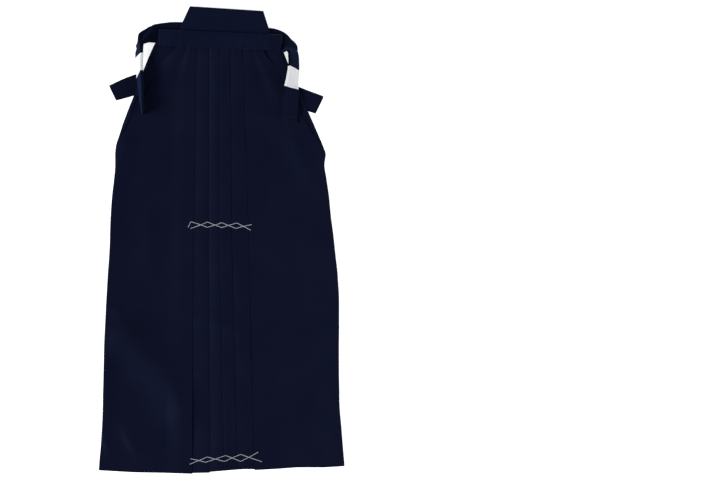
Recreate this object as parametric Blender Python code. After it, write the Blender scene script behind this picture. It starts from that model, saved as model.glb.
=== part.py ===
"""Pleated hakama trousers laid flat on a table, front side up.

Each panel is one cloth wall, swept along its length through a folded cross section, so that every
pleat is a real fold: outer cloth, under fold and return, one above the other with air between them.
X runs from the wearer's right side (-X) to the left side (+X), +Y from hem to waist, +Z up from the
table. Left and right in names are the wearer's. All lengths in this file are in millimetres.
"""
import bmesh
import bpy
import math
import numpy as np

MM = 0.001

# Cloth
CLOTH = 1.2                    # wall of one layer
LAYER = 1.6                    # from one layer to the next: the wall and the air above it
SEAM_GAP = 0.4                 # between pieces that are sewn together
EASE = 0.8                     # half height of a fold's round edge

# Waistband
WAIST_Y = 431.8                # middle of the waistband
BAND_HEIGHT = 33.5
BAND_LENGTH = 268.0
BAND_BOTTOM = 13.2
BAND_THICK = 5.2
BAND_SLOPE = -0.043            # the garment lies a little askew at the waist
BAND_MIDDLE_X = -3.5

# Back board
BOARD_HEIGHT = 67.0
BOARD_TOP_WIDTH = 159.0
BOARD_FOOT_WIDTH = 211.0
BOARD_THICK = 3.6
BOARD_BOTTOM = 7.8
BOARD_FOOT = (5.8, 432.6)
BOARD_SLOPE = -0.065

# Ties
FRONT_TIE_WIDTH = 34.0
BACK_TIE_WIDTH = 34.0
PAPER = 0.6
PAPER_GAP = 0.35
TIE_STATIONS = 57              # sections along each back tie
PAPER_RIGHT = (37, 45)         # stations of the tie that each paper band covers
PAPER_LEFT = (35, 44)

# Outline of the garment, seen from above: Y, edge on the wearer's right, edge on the left
OUTLINE = [
    # y, right_side, left_side
    (440, -138.0, 121.0),
    (423, -145.4, 127.0),
    (408, -152.2, 132.4),
    (386, -161.8, 141.0),
    (308, -192.0, 173.4),
    (277, -204.4, 186.4),
    (227, -222.4, 208.6),
    (198, -230.6, 220.6),
    (186, -231.2, 224.6),
    (162, -231.0, 221.8),
    (134, -233.2, 225.8),
    (98, -237.2, 231.0),
    (43, -241.2, 236.7),
    (0, -242.4, 242.0),
    (-86, -247.6, 250.9),
    (-130, -250.3, 253.4),
    (-250, -255.4, 253.0),
    (-350, -257.6, 254.2),
    (-410, -260.0, 258.8),
    (-497, -266.4, 265.8),
]

# Leaf pleat: the slanting front edge of the side opening, from the waistband down to the side seam
LEAF_RIGHT = [
    # y, x
    (417, -101.0), (407, -109.5), (398, -120.3), (381, -133.5), (346, -150.6), (313, -166.7),
    (279, -183.5), (254, -198.5), (227, -214.5), (204, -226.0),
]
LEAF_LEFT = [
    # y, x
    (417, 88.0), (397, 95.0), (383, 107.5), (348, 127.0), (313, 145.0), (275, 167.0), (245, 186.0),
    (212, 207.0),
]
LEAF_TURN = 24.0               # width of the leaf pleat folded under
SIDE_TURN = 9.0                # seam allowance folded under below the opening
OPENING_END_Y = 190.0

# Knife pleats on the front, from the wearer's right to the left: X of each fold edge
PLEATS = [
    # y, right_outer, right_middle, centre, left_inner, left_outer
    (416, -55.7, -29.4, -6.0, 19.2, 45.4),
    (32, -61.6, -30.5, -7.1, 22.0, 57.9),
    (-200, -64.0, -29.5, -2.0, 27.5, 64.0),
    (-497, -64.4, -26.6, 3.2, 34.6, 71.3),
]
PLEAT_DEPTH = 0.52             # under fold, as a share of the distance to the next pleat
OUTER_PLEAT_DEPTH = 19.0
NARROW_FIELD = 90.0            # below this width the outer pleat's under fold shrinks with its panel
FIELD_SHARES = (0.0, 0.07, 0.16, 0.26, 0.37, 0.48, 0.59, 0.70, 0.80, 0.88, 0.95, 1.0)
CREST_SHARE = 0.24             # share of the field that slopes at each of its sides
BACK_PLEAT_X = 6.0             # fold edge of the single pleat at the centre back

# How far the back is lifted off the table by the ties folded under it
BACK_LIFT = [(245, 0.0), (285, 3.0), (312, 3.2), (343, 5.8), (380, 6.4), (406, 8.4), (440, 8.4)]

LIFT_LEAD = 8.0                # the front rises a little before the back does

# Hem heights of the front, outer panels first
HEM_RIGHT = [(-265, -497.4), (-190, -501.8), (-130, -502.8), (-64, -504.8)]
HEM_STRIPS = (-502.4, -497.6, -494.9, -494.6)
HEM_LEFT = [(71, -496.8), (122, -494.2), (161, -491.2), (221, -491.2), (265, -488.4)]
BACK_HEM_SHORTER = 2.5

# Soft folds lying on the front panels: both ends of each crest, its height and the width of its sides
SOFT_FOLDS = [
    # x0, y0, x1, y1, height, steep_side, gentle_side
    (-240.0, -165.0, -84.0, -352.0, 8.0, 15.0, 26.0),
    (-246.0, -372.0, -192.0, -480.0, 3.2, 9.0, 16.0),
    (-212.0, 238.0, -222.0, 150.0, 3.4, 13.0, 12.0),
    (128.0, 262.0, 186.0, 152.0, 3.6, 14.0, 20.0),
    (196.0, 40.0, 204.0, -150.0, 1.8, 16.0, 22.0),
    (212.0, -250.0, 158.0, -440.0, 2.2, 16.0, 24.0),
]

# Folded ties: a row for each place that the tie passes, with its middle, height, roll and thickness.
# Roll turns the tie about its own run; at 90 degrees it stands on its edge.
FRONT_TIE_LEFT = [
    # x, y, z, roll, thick
    (112.0, 396.0, 1.2, 0.0, 2.4),
    (66.0, 404.0, 1.2, 0.0, 2.4),
    (20.0, 400.0, 1.2, 0.0, 2.4),
    (-40.0, 383.0, 1.2, 0.0, 2.4),
    (-110.0, 359.0, 1.2, 0.0, 2.4),
    (-187.0, 333.0, 1.2, 0.0, 2.4),
    (-238.0, 316.0, 1.2, 0.0, 2.4),
]
FRONT_TIE_RIGHT = [
    # x, y, z, roll, thick
    (-122.0, 408.0, 4.0, 0.0, 2.4),
    (-90.0, 399.0, 4.0, 0.0, 2.4),
    (-45.0, 387.0, 4.0, 0.0, 2.4),
    (0.0, 377.0, 4.0, 0.0, 2.4),
    (34.0, 369.0, 3.8, 0.0, 2.4),
    (62.0, 359.0, 2.4, 0.0, 2.4),
    (90.0, 346.0, 1.2, 0.0, 2.4),
    (125.0, 329.0, 1.2, 0.0, 2.4),
    (165.0, 311.0, 1.2, 0.0, 2.4),
    (211.0, 292.0, 1.2, 0.0, 2.4),
]
BACK_TIE_RIGHT = [
    # x, y, z, roll, thick, lean of the section along the run
    (-0.6, 445.0, 3.7, 0.0, 5.2, 0.0),
    (-41.0, 448.6, 3.7, 0.0, 5.2, 0.0),
    (-80.0, 452.2, 3.7, 0.0, 5.2, 0.0),
    (-112.0, 452.0, 3.7, 0.0, 5.2, 0.0),
    (-134.0, 448.4, 4.6, 5.0, 5.6, 0.0),
    (-152.0, 444.2, 9.6, 24.0, 6.2, -0.35),
    (-166.0, 438.8, 15.6, 56.0, 7.8, -0.80),
    (-174.8, 430.4, 17.8, 84.0, 10.8, -0.90),
    (-177.1, 417.6, 18.2, 103.0, 10.2, -0.62),
    (-178.0, 401.6, 18.2, 112.0, 6.8, -0.36),
    (-177.8, 384.0, 18.5, 111.0, 6.0, -0.32),
    (-176.6, 363.0, 22.0, 108.0, 6.0, -0.32),
    (-174.8, 338.0, 25.5, 107.0, 6.0, -0.20),
    (-172.8, 308.0, 25.2, 103.0, 6.0, -0.05),
    (-169.0, 270.0, 25.4, 95.0, 5.8, 0.0),
]
PAPER_BACK = [
    # x, y, z, roll, thick
    (-23.0, 447.0, 3.7, 0.0, 5.2),
    (-3.5, 445.3, 3.7, 0.0, 5.2),
    (15.5, 444.3, 3.7, 0.0, 5.2),
]
BACK_TIE_LEFT = [
    # x, y, z, roll, thick
    (0.6, 445.0, 3.7, 0.0, 5.2),
    (45.0, 442.8, 3.7, 0.0, 5.2),
    (86.0, 442.0, 3.7, 0.0, 5.2),
    (111.0, 439.4, 3.7, 0.0, 5.2),
    (127.0, 432.8, 3.9, 0.0, 5.6),
    (142.5, 426.0, 4.5, 0.0, 6.0),
    (151.0, 413.5, 13.6, -40.0, 6.8),
    (154.6, 396.0, 17.2, -58.0, 6.4),
    (155.4, 381.0, 17.4, -56.0, 6.0),
    (155.2, 366.0, 19.6, -54.0, 6.0),
    (152.6, 347.0, 21.6, -50.0, 6.0),
    (149.8, 328.0, 21.2, -40.0, 6.0),
    (148.2, 307.0, 17.0, -22.0, 6.0),
    (147.0, 284.0, 13.4, -5.0, 6.0),
    (145.4, 256.0, 12.1, 0.0, 5.8),
]


def column(rows, place):
    """One column of a table of rows."""
    return [row[place] for row in rows]


def read_table(rows, y, place):
    """Value of a table at height y; its rows run from the waist down to the hem."""
    heights = column(rows, 0)[::-1]
    values = column(rows, place)[::-1]
    return float(np.interp(y, heights, values))


def ease(value):
    """Smooth step from 0 to 1."""
    held = min(max(value, 0.0), 1.0)
    return held * held * (3.0 - 2.0 * held)


def back_lift(y):
    return float(np.interp(y, column(BACK_LIFT, 0), column(BACK_LIFT, 1)))


def inner_end(y):
    """X where the right leg ends, hidden under the left leg's inner pleat."""
    inner = read_table(PLEATS, y, 4)
    outer = read_table(PLEATS, y, 5)
    return inner + 0.24 * (outer - inner)


def centre_rise(x, y):
    """How far the middle is raised, 0 to 1, because both legs' backs overlap there."""
    rising = ease((x - BACK_PLEAT_X + 40.0) / 36.0)
    falling = ease((inner_end(y) + 52.0 - x) / 44.0)
    return rising * falling


def soft_folds(x, y):
    """Height of the soft folds at one place of the front."""
    height = 0.0
    for x0, y0, x1, y1, crest, steep, gentle in SOFT_FOLDS:
        run = math.hypot(x1 - x0, y1 - y0)
        along = ((x - x0) * (x1 - x0) + (y - y0) * (y1 - y0)) / run
        across = ((x - x0) * (y1 - y0) - (y - y0) * (x1 - x0)) / run
        width = gentle if across > 0.0 else steep
        fade = ease((along + 25.0) / 60.0) * ease((run + 25.0 - along) / 60.0)
        height = height + crest * fade * math.exp(-0.5 * (across / width) ** 2)
    return height


def front_base(x, y):
    """Height of the lowest layer of the front above the table, at the middle of its wall."""
    to_waist = ease((y - 360.0) / 44.0)
    raised = 1.0 - (1.0 - centre_rise(x, y)) * (1.0 - to_waist)
    return back_lift(y + LIFT_LEAD) + LAYER + 2.0 * LAYER * raised + soft_folds(x, y) + CLOTH / 2


def clean_material(name, colour, roughness):
    material = bpy.data.materials.new(name)
    material.use_nodes = True
    shader = material.node_tree.nodes["Principled BSDF"]
    shader.inputs["Base Color"].default_value = (*colour, 1.0)
    shader.inputs["Roughness"].default_value = roughness
    shader.inputs["Metallic"].default_value = 0.0
    material.diffuse_color = (*colour, 1.0)
    return material


def make_object(name, points, faces, colour, roughness):
    """One closed body from points in millimetres, with its own material."""
    mesh = bpy.data.meshes.new(name)
    work = bmesh.new()
    corners = [work.verts.new((p[0] * MM, p[1] * MM, p[2] * MM)) for p in points]
    for face in faces:
        work.faces.new([corners[index] for index in face])
    bmesh.ops.recalc_face_normals(work, faces=work.faces)
    work.to_mesh(mesh)
    work.free()
    thing = bpy.data.objects.new(name, mesh)
    bpy.context.scene.collection.objects.link(thing)
    mesh.materials.append(clean_material(name, colour, roughness))
    mesh.shade_smooth()
    mesh.set_sharp_from_angle(angle=math.radians(50.0))
    return thing


NAVY = (0.012, 0.015, 0.036)
NAVY_DARK = (0.011, 0.014, 0.033)
WHITE = (0.82, 0.82, 0.84)


# Panels ---------------------------------------------------------------------------------------

def wall(path):
    """Both faces of a wall of even thickness along a path of (u, level) points."""
    upper = []
    lower = []
    for index, (u, level) in enumerate(path):
        before = path[max(index - 1, 0)]
        after = path[min(index + 1, len(path) - 1)]
        into = np.array([u - before[0], level - before[1]])
        out = np.array([after[0] - u, after[1] - level])
        if index == 0:
            into = out
        if index == len(path) - 1:
            out = into
        into = into / np.linalg.norm(into)
        out = out / np.linalg.norm(out)
        along = into + out
        along = along / np.linalg.norm(along)
        normal = np.array([-along[1], along[0]])
        reach = (CLOTH / 2) / max(float(np.dot(along, out)), 0.6)
        upper.append((u + normal[0] * reach, level + normal[1] * reach))
        lower.append((u - normal[0] * reach, level - normal[1] * reach))
    return upper, lower


def fold(path, edge, direction, level_in, level_out):
    """Turn the path back on itself; the fold's edge lies at u = edge, facing direction."""
    path.append((edge - direction * EASE, level_in))
    path.append((edge, (level_in + level_out) / 2))
    path.append((edge - direction * EASE, level_out))


def panel_field(start, end, level_start, level_end):
    """Points across a flat field, which comes down to the base between its raised ends."""
    points = []
    for share in FIELD_SHARES:
        fall = level_start * (1.0 - ease(share / CREST_SHARE))
        climb = level_end * ease((share - 1.0 + CREST_SHARE) / CREST_SHARE)
        points.append((start + share * (end - start), fall + climb))
    return points


def front_path(edge, turn, creases, ending):
    """Folded section of a front panel: turned edge, field, then knife pleats to the middle."""
    path = [(edge + turn, 0.0)]
    fold(path, edge, -1.0, 0.0, LAYER)
    depth = OUTER_PLEAT_DEPTH
    if creases[0] - edge < NARROW_FIELD:
        depth = OUTER_PLEAT_DEPTH * (creases[0] - edge) / NARROW_FIELD
    path.extend(panel_field(edge + turn + 2.0, creases[0] - depth - 2.0, LAYER, 2.0 * LAYER))
    for place, crease in enumerate(creases):
        fold(path, crease, 1.0, 2.0 * LAYER, LAYER)
        last = place == len(creases) - 1
        if last and ending is None:
            path.append((crease - depth, LAYER))
            break
        fold(path, crease - depth, -1.0, LAYER, 0.0)
        path.append((crease + 2.2, 0.0))
        if last:
            path.append(((crease + ending) / 2, 0.0))
            path.append((ending, 0.0))
            break
        gap = creases[place + 1] - crease
        depth = PLEAT_DEPTH * gap
        path.append((creases[place + 1] - depth - 2.0, 2.0 * LAYER))
    return path


TURNED_EDGE_POINTS = 4         # points of the turned edge, before the field

# Nominal heights of the sections, from the waist to the hem
ROWS_FRONT = [414, 397, 378, 360, 343, 326, 308, 285, 262, 238, 212, 190, 162, 130, 90, 35, -25, -85, -140,
              -190, -240, -290, -340, -395, -450, -497]
ROWS_BACK = [432, 414, 397, 378, 360, 343, 326, 308, 285, 262, 238, 212, 187, 162, 120, 60, -20, -110, -200,
             -300, -400, -497]


def sweep(name, rows, section, place, colour):
    """Join the walls of a panel's sections, from its top row to its hem, into one closed body."""
    rings = []
    for y in rows:
        upper, lower = wall(section(y))
        ring = [place(u, level, y, index, len(upper)) for index, (u, level) in enumerate(upper)]
        ring = ring + [place(u, level, y, index, len(lower)) for index, (u, level) in enumerate(lower)]
        rings.append(ring)
    count = len(rings[0]) // 2
    points = [point for ring in rings for point in ring]
    faces = []

    def quad(a, b, c, d):
        # the diagonal leans the same way in every layer, so stacked layers keep their distance
        if (points[b][0] - points[a][0]) * (points[d][1] - points[a][1]) < 0.0:
            faces.extend([(a, b, c), (a, c, d)])
        else:
            faces.extend([(b, c, d), (b, d, a)])

    for row in range(len(rows) - 1):
        top = row * 2 * count
        low = top + 2 * count
        for side in (0, count):
            for index in range(count - 1):
                at = side + index
                quad(top + at, top + at + 1, low + at + 1, low + at)
        for index in (0, count - 1):
            quad(top + index, top + count + index, low + count + index, low + index)
    for top in (0, (len(rows) - 1) * 2 * count):
        for index in range(count - 1):
            a, b = top + index, top + index + 1
            c, d = top + count + index + 1, top + count + index
            faces.extend([(a, b, c), (a, c, d)])
    return make_object(name, points, faces, colour, 0.9)


def station(y, rows, top, hem):
    """Y of a point whose row has nominal height y, between the panel's own top and hem."""
    share = (rows[0] - y) / (rows[0] - rows[-1])
    return top + (hem - top) * share


def front_top(x):
    return WAIST_Y - BAND_HEIGHT / 2 - SEAM_GAP + BAND_SLOPE * (x - BAND_MIDDLE_X)


def front_panel(name, side, edge_place, leaf, creases, ending, hem_outer, hem_inner, colour):
    """A front panel; side is +1 where inwards is +X (right leg) and -1 for the left leg."""
    def section(y):
        at_side = read_table(OUTLINE, y, edge_place)
        hem = float(np.interp(at_side, column(hem_outer, 0), column(hem_outer, 1)))
        height = station(y, ROWS_FRONT, front_top(at_side), hem)
        turn = SIDE_TURN
        edge = abs(read_table(OUTLINE, height, edge_place)) - 1.0
        if height > OPENING_END_Y:
            slant = float(np.interp(-height, [-row[0] for row in leaf] + [-OPENING_END_Y],
                                    [abs(row[1]) for row in leaf] + [edge]))
            edge = min(edge, slant)
            turn = SIDE_TURN + (LEAF_TURN - SIDE_TURN) * ease((height - OPENING_END_Y) / 60.0)
            turn = min(turn, 0.3 * (edge + side * read_table(PLEATS, y, creases[0])))
        path_creases = [side * read_table(PLEATS, y, place) for place in creases]
        finish = None if ending is None else side * ending(y)
        return front_path(-edge, turn, path_creases, finish)

    def place_point(u, level, y, index, count):
        x = side * u
        hem = float(np.interp(x, column(hem_outer, 0), column(hem_outer, 1)))
        before_pleats = TURNED_EDGE_POINTS + len(FIELD_SHARES)
        if index > before_pleats:
            strips = np.linspace(before_pleats, count, len(hem_inner))
            hem = float(np.interp(index, strips, hem_inner))
        actual = station(y, ROWS_FRONT, front_top(x), hem)
        return (x, actual, level + front_base(x, actual))

    return sweep(name, ROWS_FRONT, section, place_point, colour)


def back_hem(x):
    right = float(np.interp(x, column(HEM_RIGHT, 0), column(HEM_RIGHT, 1)))
    left = float(np.interp(x, column(HEM_LEFT, 0), column(HEM_LEFT, 1)))
    mixed = right + (left - right) * ease((x + 64.0) / 135.0)
    return mixed + BACK_HEM_SHORTER


def back_top(x):
    return BOARD_FOOT[1] - SEAM_GAP + BOARD_SLOPE * (x - BOARD_FOOT[0])


def back_outline(y, place):
    """X of a back's outer edge in the row of nominal height y."""
    at_side = read_table(OUTLINE, y, place)
    return read_table(OUTLINE, station(y, ROWS_BACK, back_top(at_side), back_hem(at_side)), place)


def back_right_section(y):
    edge = back_outline(y, 1)
    finish = inner_end(y)
    shares = (0.0, 0.2, 0.4, 0.55, 0.68)
    start = edge + 0.5
    path = [(start + share * (BACK_PLEAT_X - start), 0.0) for share in shares]
    for along in (-34.0, -27.0, -20.0, -13.0, -6.0):
        path.append((BACK_PLEAT_X + along, 0.0))
    path.append((finish, 0.0))
    return path


def back_right_place(x, level, y, index, count):
    actual = station(y, ROWS_BACK, back_top(x), back_hem(x))
    rise = 2.0 * LAYER * ease((x - BACK_PLEAT_X + 38.0) / 35.0)
    return (x, actual, level + back_lift(actual) + rise + CLOTH / 2)


def back_left_section(y):
    edge = -back_outline(y, 2)
    start = edge + 0.5
    fold_edge = -BACK_PLEAT_X
    path = [(start + share * (fold_edge - start), 0.0) for share in (0.0, 0.15, 0.3, 0.5, 0.7, 0.85)]
    fold(path, fold_edge, 1.0, 0.0, LAYER)
    path.append(((fold_edge - inner_end(y)) / 2, LAYER))
    path.append((-inner_end(y) - 4.0, LAYER))
    return path


def back_left_place(u, level, y, index, count):
    x = -u
    actual = station(y, ROWS_BACK, back_top(x), back_hem(x) + 1.5)
    return (x, actual, level + back_lift(actual) + CLOTH / 2)


# Ties, paper bands, waistband and board ---------------------------------------------------------

def smooth_rows(rows, count):
    """Catmull-Rom curve through every column of a table."""
    table = np.array(rows, dtype=float)
    padded = np.vstack([2 * table[0] - table[1], table, 2 * table[-1] - table[-2]])
    result = []
    for place in np.linspace(0.0, len(table) - 1.0, count):
        index = min(int(place), len(table) - 2)
        t = place - index
        a, b, c, d = padded[index], padded[index + 1], padded[index + 2], padded[index + 3]
        value = b + 0.5 * t * (c - a + t * (2 * a - 5 * b + 4 * c - d + t * (3 * (b - c) + d - a)))
        result.append(value)
    return np.array(result)


def tie_frames(rows, count, side):
    """Middle, width direction, face direction and thickness at even steps along a tie.

    A sixth column leans the sections along the run, where the tie turns over at a corner.
    """
    table = smooth_rows(rows, count)
    middles = table[:, 0:3]
    runs = np.gradient(middles, axis=0)
    leans = table[:, 5] if table.shape[1] > 5 else np.zeros(count)
    frames = []
    for middle, run, roll, thick, lean in zip(middles, runs, table[:, 3], table[:, 4], leans):
        run = run / np.linalg.norm(run)
        middle = np.array([middle[0], middle[1], max(middle[2], thick / 2)])
        outer = np.array([-run[1], run[0], 0.0]) * side
        outer = outer / np.linalg.norm(outer)
        angle = math.radians(roll)
        wide = outer * math.cos(angle) + np.array([0.0, 0.0, 1.0]) * math.sin(angle)
        wide = wide - run * np.dot(wide, run)
        wide = wide / np.linalg.norm(wide)
        face = np.cross(run, wide)
        frames.append((middle, wide + lean * run, face, thick))
    return frames


def rounded_section(frame, width, spare, chamfer):
    """Eight corners of a tie's section, spare outside its faces."""
    middle, wide, face, thick = frame
    half = width / 2 + spare
    deep = thick / 2 + spare
    cut = chamfer * deep
    corners = [(half, deep - cut), (half - cut, deep), (cut - half, deep), (-half, deep - cut),
               (-half, cut - deep), (cut - half, -deep), (half - cut, -deep), (half, cut - deep)]
    return [middle + wide * a + face * b for a, b in corners]


def tie(name, rows, count, side, width, colour):
    rings = [rounded_section(frame, width, 0.0, 0.55) for frame in tie_frames(rows, count, side)]
    points = [point for ring in rings for point in ring]
    faces = []
    for row in range(count - 1):
        for index in range(8):
            after = (index + 1) % 8
            a, b = row * 8 + index, row * 8 + after
            faces.extend([(a, b, b + 8), (a, b + 8, a + 8)])
    faces.append(tuple(range(8)))
    faces.append(tuple(range((count - 1) * 8, count * 8)))
    return make_object(name, points, faces, colour, 0.9)


def paper_band(name, rows, count, side, first, last):
    """A closed loop of paper round a tie, over its stations first to last."""
    frames = tie_frames(rows, count, side)[first:last + 1]
    points = []
    for frame in frames:
        points.extend(rounded_section(frame, BACK_TIE_WIDTH, PAPER_GAP, 0.5))
        points.extend(rounded_section(frame, BACK_TIE_WIDTH, PAPER_GAP + PAPER, 0.5))
    faces = []
    for row in range(len(frames) - 1):
        for index in range(8):
            after = (index + 1) % 8
            for skin in (0, 8):
                a, b = row * 16 + skin + index, row * 16 + skin + after
                faces.extend([(a, b, b + 16), (a, b + 16, a + 16)])
    for row in (0, len(frames) - 1):
        for index in range(8):
            after = (index + 1) % 8
            a, b = row * 16 + index, row * 16 + after
            faces.extend([(a, b, b + 8), (a, b + 8, a + 8)])
    return make_object(name, points, faces, WHITE, 0.75)


def plate(name, outline, bottom, thick, soft, colour):
    """A flat piece with softened edges; soft is how far its edges are rounded in."""
    centre = np.mean(np.array(outline), axis=0)
    half = np.ptp(np.array(outline), axis=0) / 2
    rings = []
    for inset, height in ((soft, 0.0), (0.3 * soft, 0.3 * soft), (0.0, thick / 2),
                          (0.3 * soft, thick - 0.3 * soft), (soft, thick)):
        shrink = (half - inset) / half
        rings.append([(*(centre + (np.array(p) - centre) * shrink), bottom + height) for p in outline])
    size = len(outline)
    points = [point for ring in rings for point in ring]
    faces = [tuple(range(size)), tuple(range(4 * size, 5 * size))]
    for row in range(4):
        for index in range(size):
            after = (index + 1) % size
            a, b = row * size + index, row * size + after
            faces.extend([(a, b, b + size), (a, b + size, a + size)])
    return make_object(name, points, faces, colour, 0.9)


def rounded_corners(corners, radius):
    """Outline with each corner replaced by a short arc of three points."""
    outline = []
    for index, corner in enumerate(corners):
        here = np.array(corner, dtype=float)
        before = np.array(corners[index - 1], dtype=float)
        after = np.array(corners[(index + 1) % len(corners)], dtype=float)
        first = here + (before - here) / np.linalg.norm(before - here) * radius
        second = here + (after - here) / np.linalg.norm(after - here) * radius
        outline.extend([tuple(first), tuple((first + second + 2 * here) / 4), tuple(second)])
    return outline


def slanted(centre, slope, across, along):
    """A point given along and across a line that leans by slope."""
    length = math.hypot(1.0, slope)
    run = (1.0 / length, slope / length)
    return (centre[0] + along * run[0] - across * run[1], centre[1] + along * run[1] + across * run[0])


def build_panels():
    front_panel("front_right_leg", 1.0, 1, LEAF_RIGHT, (1, 2, 3), inner_end,
                HEM_RIGHT, (-504.8,) + HEM_STRIPS[0:3], NAVY)
    front_panel("front_left_leg", -1.0, 2, LEAF_LEFT, (5, 4), None,
                HEM_LEFT, (-496.8,) + HEM_STRIPS[2:4], NAVY)
    sweep("back_right_leg", ROWS_BACK, back_right_section, back_right_place, NAVY_DARK)
    sweep("back_left_leg", ROWS_BACK, back_left_section, back_left_place, NAVY_DARK)


def build_waist():
    middle = (BAND_MIDDLE_X, WAIST_Y)
    half = (BAND_LENGTH / 2, BAND_HEIGHT / 2)
    corners = [slanted(middle, BAND_SLOPE, a * half[1], b * half[0])
               for a, b in ((-1, -1), (-1, 1), (1, 1), (1, -1))]
    plate("front_waistband", rounded_corners(corners, 2.0), BAND_BOTTOM, BAND_THICK, 1.2, NAVY)
    widths = ((0.0, -BOARD_FOOT_WIDTH / 2), (0.0, BOARD_FOOT_WIDTH / 2),
              (BOARD_HEIGHT, BOARD_TOP_WIDTH / 2), (BOARD_HEIGHT, -BOARD_TOP_WIDTH / 2))
    corners = [slanted(BOARD_FOOT, BOARD_SLOPE, a, b) for a, b in widths]
    plate("back_board", rounded_corners(corners, 3.0), BOARD_BOTTOM, BOARD_THICK, 1.1, NAVY)


def build_ties():
    tie("front_tie_left", FRONT_TIE_LEFT, 22, -1.0, FRONT_TIE_WIDTH, NAVY)
    tie("front_tie_right", FRONT_TIE_RIGHT, 22, 1.0, FRONT_TIE_WIDTH, NAVY)
    tie("back_tie_right", BACK_TIE_RIGHT, TIE_STATIONS, -1.0, BACK_TIE_WIDTH, NAVY)
    tie("back_tie_left", BACK_TIE_LEFT, TIE_STATIONS, 1.0, BACK_TIE_WIDTH, NAVY)
    paper_band("paper_band_right", BACK_TIE_RIGHT, TIE_STATIONS, -1.0, *PAPER_RIGHT)
    paper_band("paper_band_left", BACK_TIE_LEFT, TIE_STATIONS, 1.0, *PAPER_LEFT)
    paper_band("paper_band_back", PAPER_BACK, 3, -1.0, 0, 2)


for old in list(bpy.data.objects):
    bpy.data.objects.remove(old, do_unlink=True)

build_panels()
build_waist()
build_ties()
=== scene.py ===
import math
import bpy
import numpy as np
from mathutils import Matrix, Vector, noise
from mathutils.bvhtree import BVHTree


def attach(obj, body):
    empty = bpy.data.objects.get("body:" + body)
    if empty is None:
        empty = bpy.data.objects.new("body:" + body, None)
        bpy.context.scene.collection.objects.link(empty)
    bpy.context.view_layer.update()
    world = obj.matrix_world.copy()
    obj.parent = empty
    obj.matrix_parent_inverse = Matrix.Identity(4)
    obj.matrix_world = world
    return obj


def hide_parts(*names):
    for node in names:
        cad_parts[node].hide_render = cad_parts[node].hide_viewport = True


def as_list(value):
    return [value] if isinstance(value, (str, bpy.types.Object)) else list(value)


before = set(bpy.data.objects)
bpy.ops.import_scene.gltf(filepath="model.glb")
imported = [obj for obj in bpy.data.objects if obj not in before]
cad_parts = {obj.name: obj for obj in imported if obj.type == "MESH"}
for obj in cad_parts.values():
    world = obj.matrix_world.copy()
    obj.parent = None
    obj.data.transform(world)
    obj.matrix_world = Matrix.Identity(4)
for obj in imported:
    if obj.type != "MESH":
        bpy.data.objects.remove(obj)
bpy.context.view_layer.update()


# Right leg, front -------------------------------------------------------------------------------
# One breadth of navy twill. Its outer edge is turned under, broadly beside the opening, where it is
# the slanting leaf pleat, and narrowly below it. Then come three knife pleats that face the middle,
# pressed from waist to hem, so that outer cloth, under fold and return lie one above the other.
MM = 0.001
CLOTH = 0.65                   # one layer of cloth
HEM_CLOTH = 0.95               # cloth with the allowance turned up inside the hem
HEM_DEPTH = 38.0
LAYER = 1.0                    # from one pleated layer to the next
FOLD_REACH = 0.65              # how far a fold's round edge reaches
FOLD_SPAN = FOLD_REACH + 0.3   # from a fold's edge to where the cloth lies flat below it
CREST_SPAN = FOLD_REACH + 0.4  # the same above it
PRESSED = 2.0                  # beside a turned edge the cloth stays pressed over this width
PAST_FOLD = 0.2                # how far the cloth runs past the fold above it before it swells
WAIST_ROOM = 2.1               # the fronts rise this much more to enter the waistband
FOLD_POINTS = 7                # points round a fold's edge

WAIST_Y = 431.8                # middle of the waistband
BAND_MIDDLE_X = -3.5
BAND_HEIGHT = 33.5
BAND_SLOPE = -0.043            # the waistband and the board lie slightly askew
TUCKED_IN = 4.0                # the pleats' tops go into the waistband

OUTLINE = [
    # y, right_side, left_side
    (440, -138.0, 121.0), (423, -145.4, 127.0), (408, -152.2, 132.4), (386, -161.8, 141.0),
    (308, -192.0, 173.4), (277, -204.4, 186.4), (227, -222.4, 208.6), (198, -230.6, 220.6),
    (186, -231.2, 224.6), (162, -231.0, 221.8), (134, -233.2, 225.8), (98, -237.2, 231.0),
    (43, -241.2, 236.7), (0, -242.4, 242.0), (-86, -247.6, 250.9), (-130, -250.3, 253.4),
    (-250, -255.4, 253.0), (-350, -257.6, 254.2), (-410, -260.0, 258.8), (-497, -266.4, 265.8),
]
OPENING_END_Y = 190.0          # the side opening's lower end
LEAF_RIGHT = [
    # y, x
    (417, -101.0), (407, -109.5), (398, -120.3), (381, -133.5), (346, -150.6), (313, -166.7),
    (279, -183.5), (254, -198.5), (227, -214.5), (204, -226.0), (OPENING_END_Y, -230.6),
]
LEAF_LEFT = [
    # y, x
    (417, 88.0), (397, 95.0), (383, 107.5), (348, 127.0), (313, 145.0), (275, 167.0), (245, 186.0),
    (212, 207.0), (OPENING_END_Y, 222.4),
]
LEAF_PLACES = [([row[0] for row in rows[::-1]], [abs(row[1]) for row in rows[::-1]])
               for rows in (LEAF_RIGHT, LEAF_LEFT)]
LEAF_SETTLED = 2.6             # how much lower the leaf pleat lies than the pleats beside it
LEAF_TURN = 24.0               # width turned under at the leaf pleat
SIDE_TURN = 9.0                # and at the side seam
PLEATS = [
    # y, right_outer, right_middle, centre, left_inner, left_outer
    (416, -55.7, -29.4, -6.0, 19.2, 45.4),
    (32, -61.6, -30.5, -7.1, 22.0, 57.9),
    (-200, -64.0, -29.5, -2.0, 27.5, 64.0),
    (-497, -64.4, -26.6, 3.2, 34.6, 71.3),
]
PLEAT_DEPTH = 0.52             # a pleat's hidden fold, as a share of the panel it lies under
LIP = 2.6                      # beside a fold's edge the next panel swells up over this width
LIP_HEIGHT = 1.2
PUFF = 0.35                    # how much a narrow pleat swells between its folds
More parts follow.
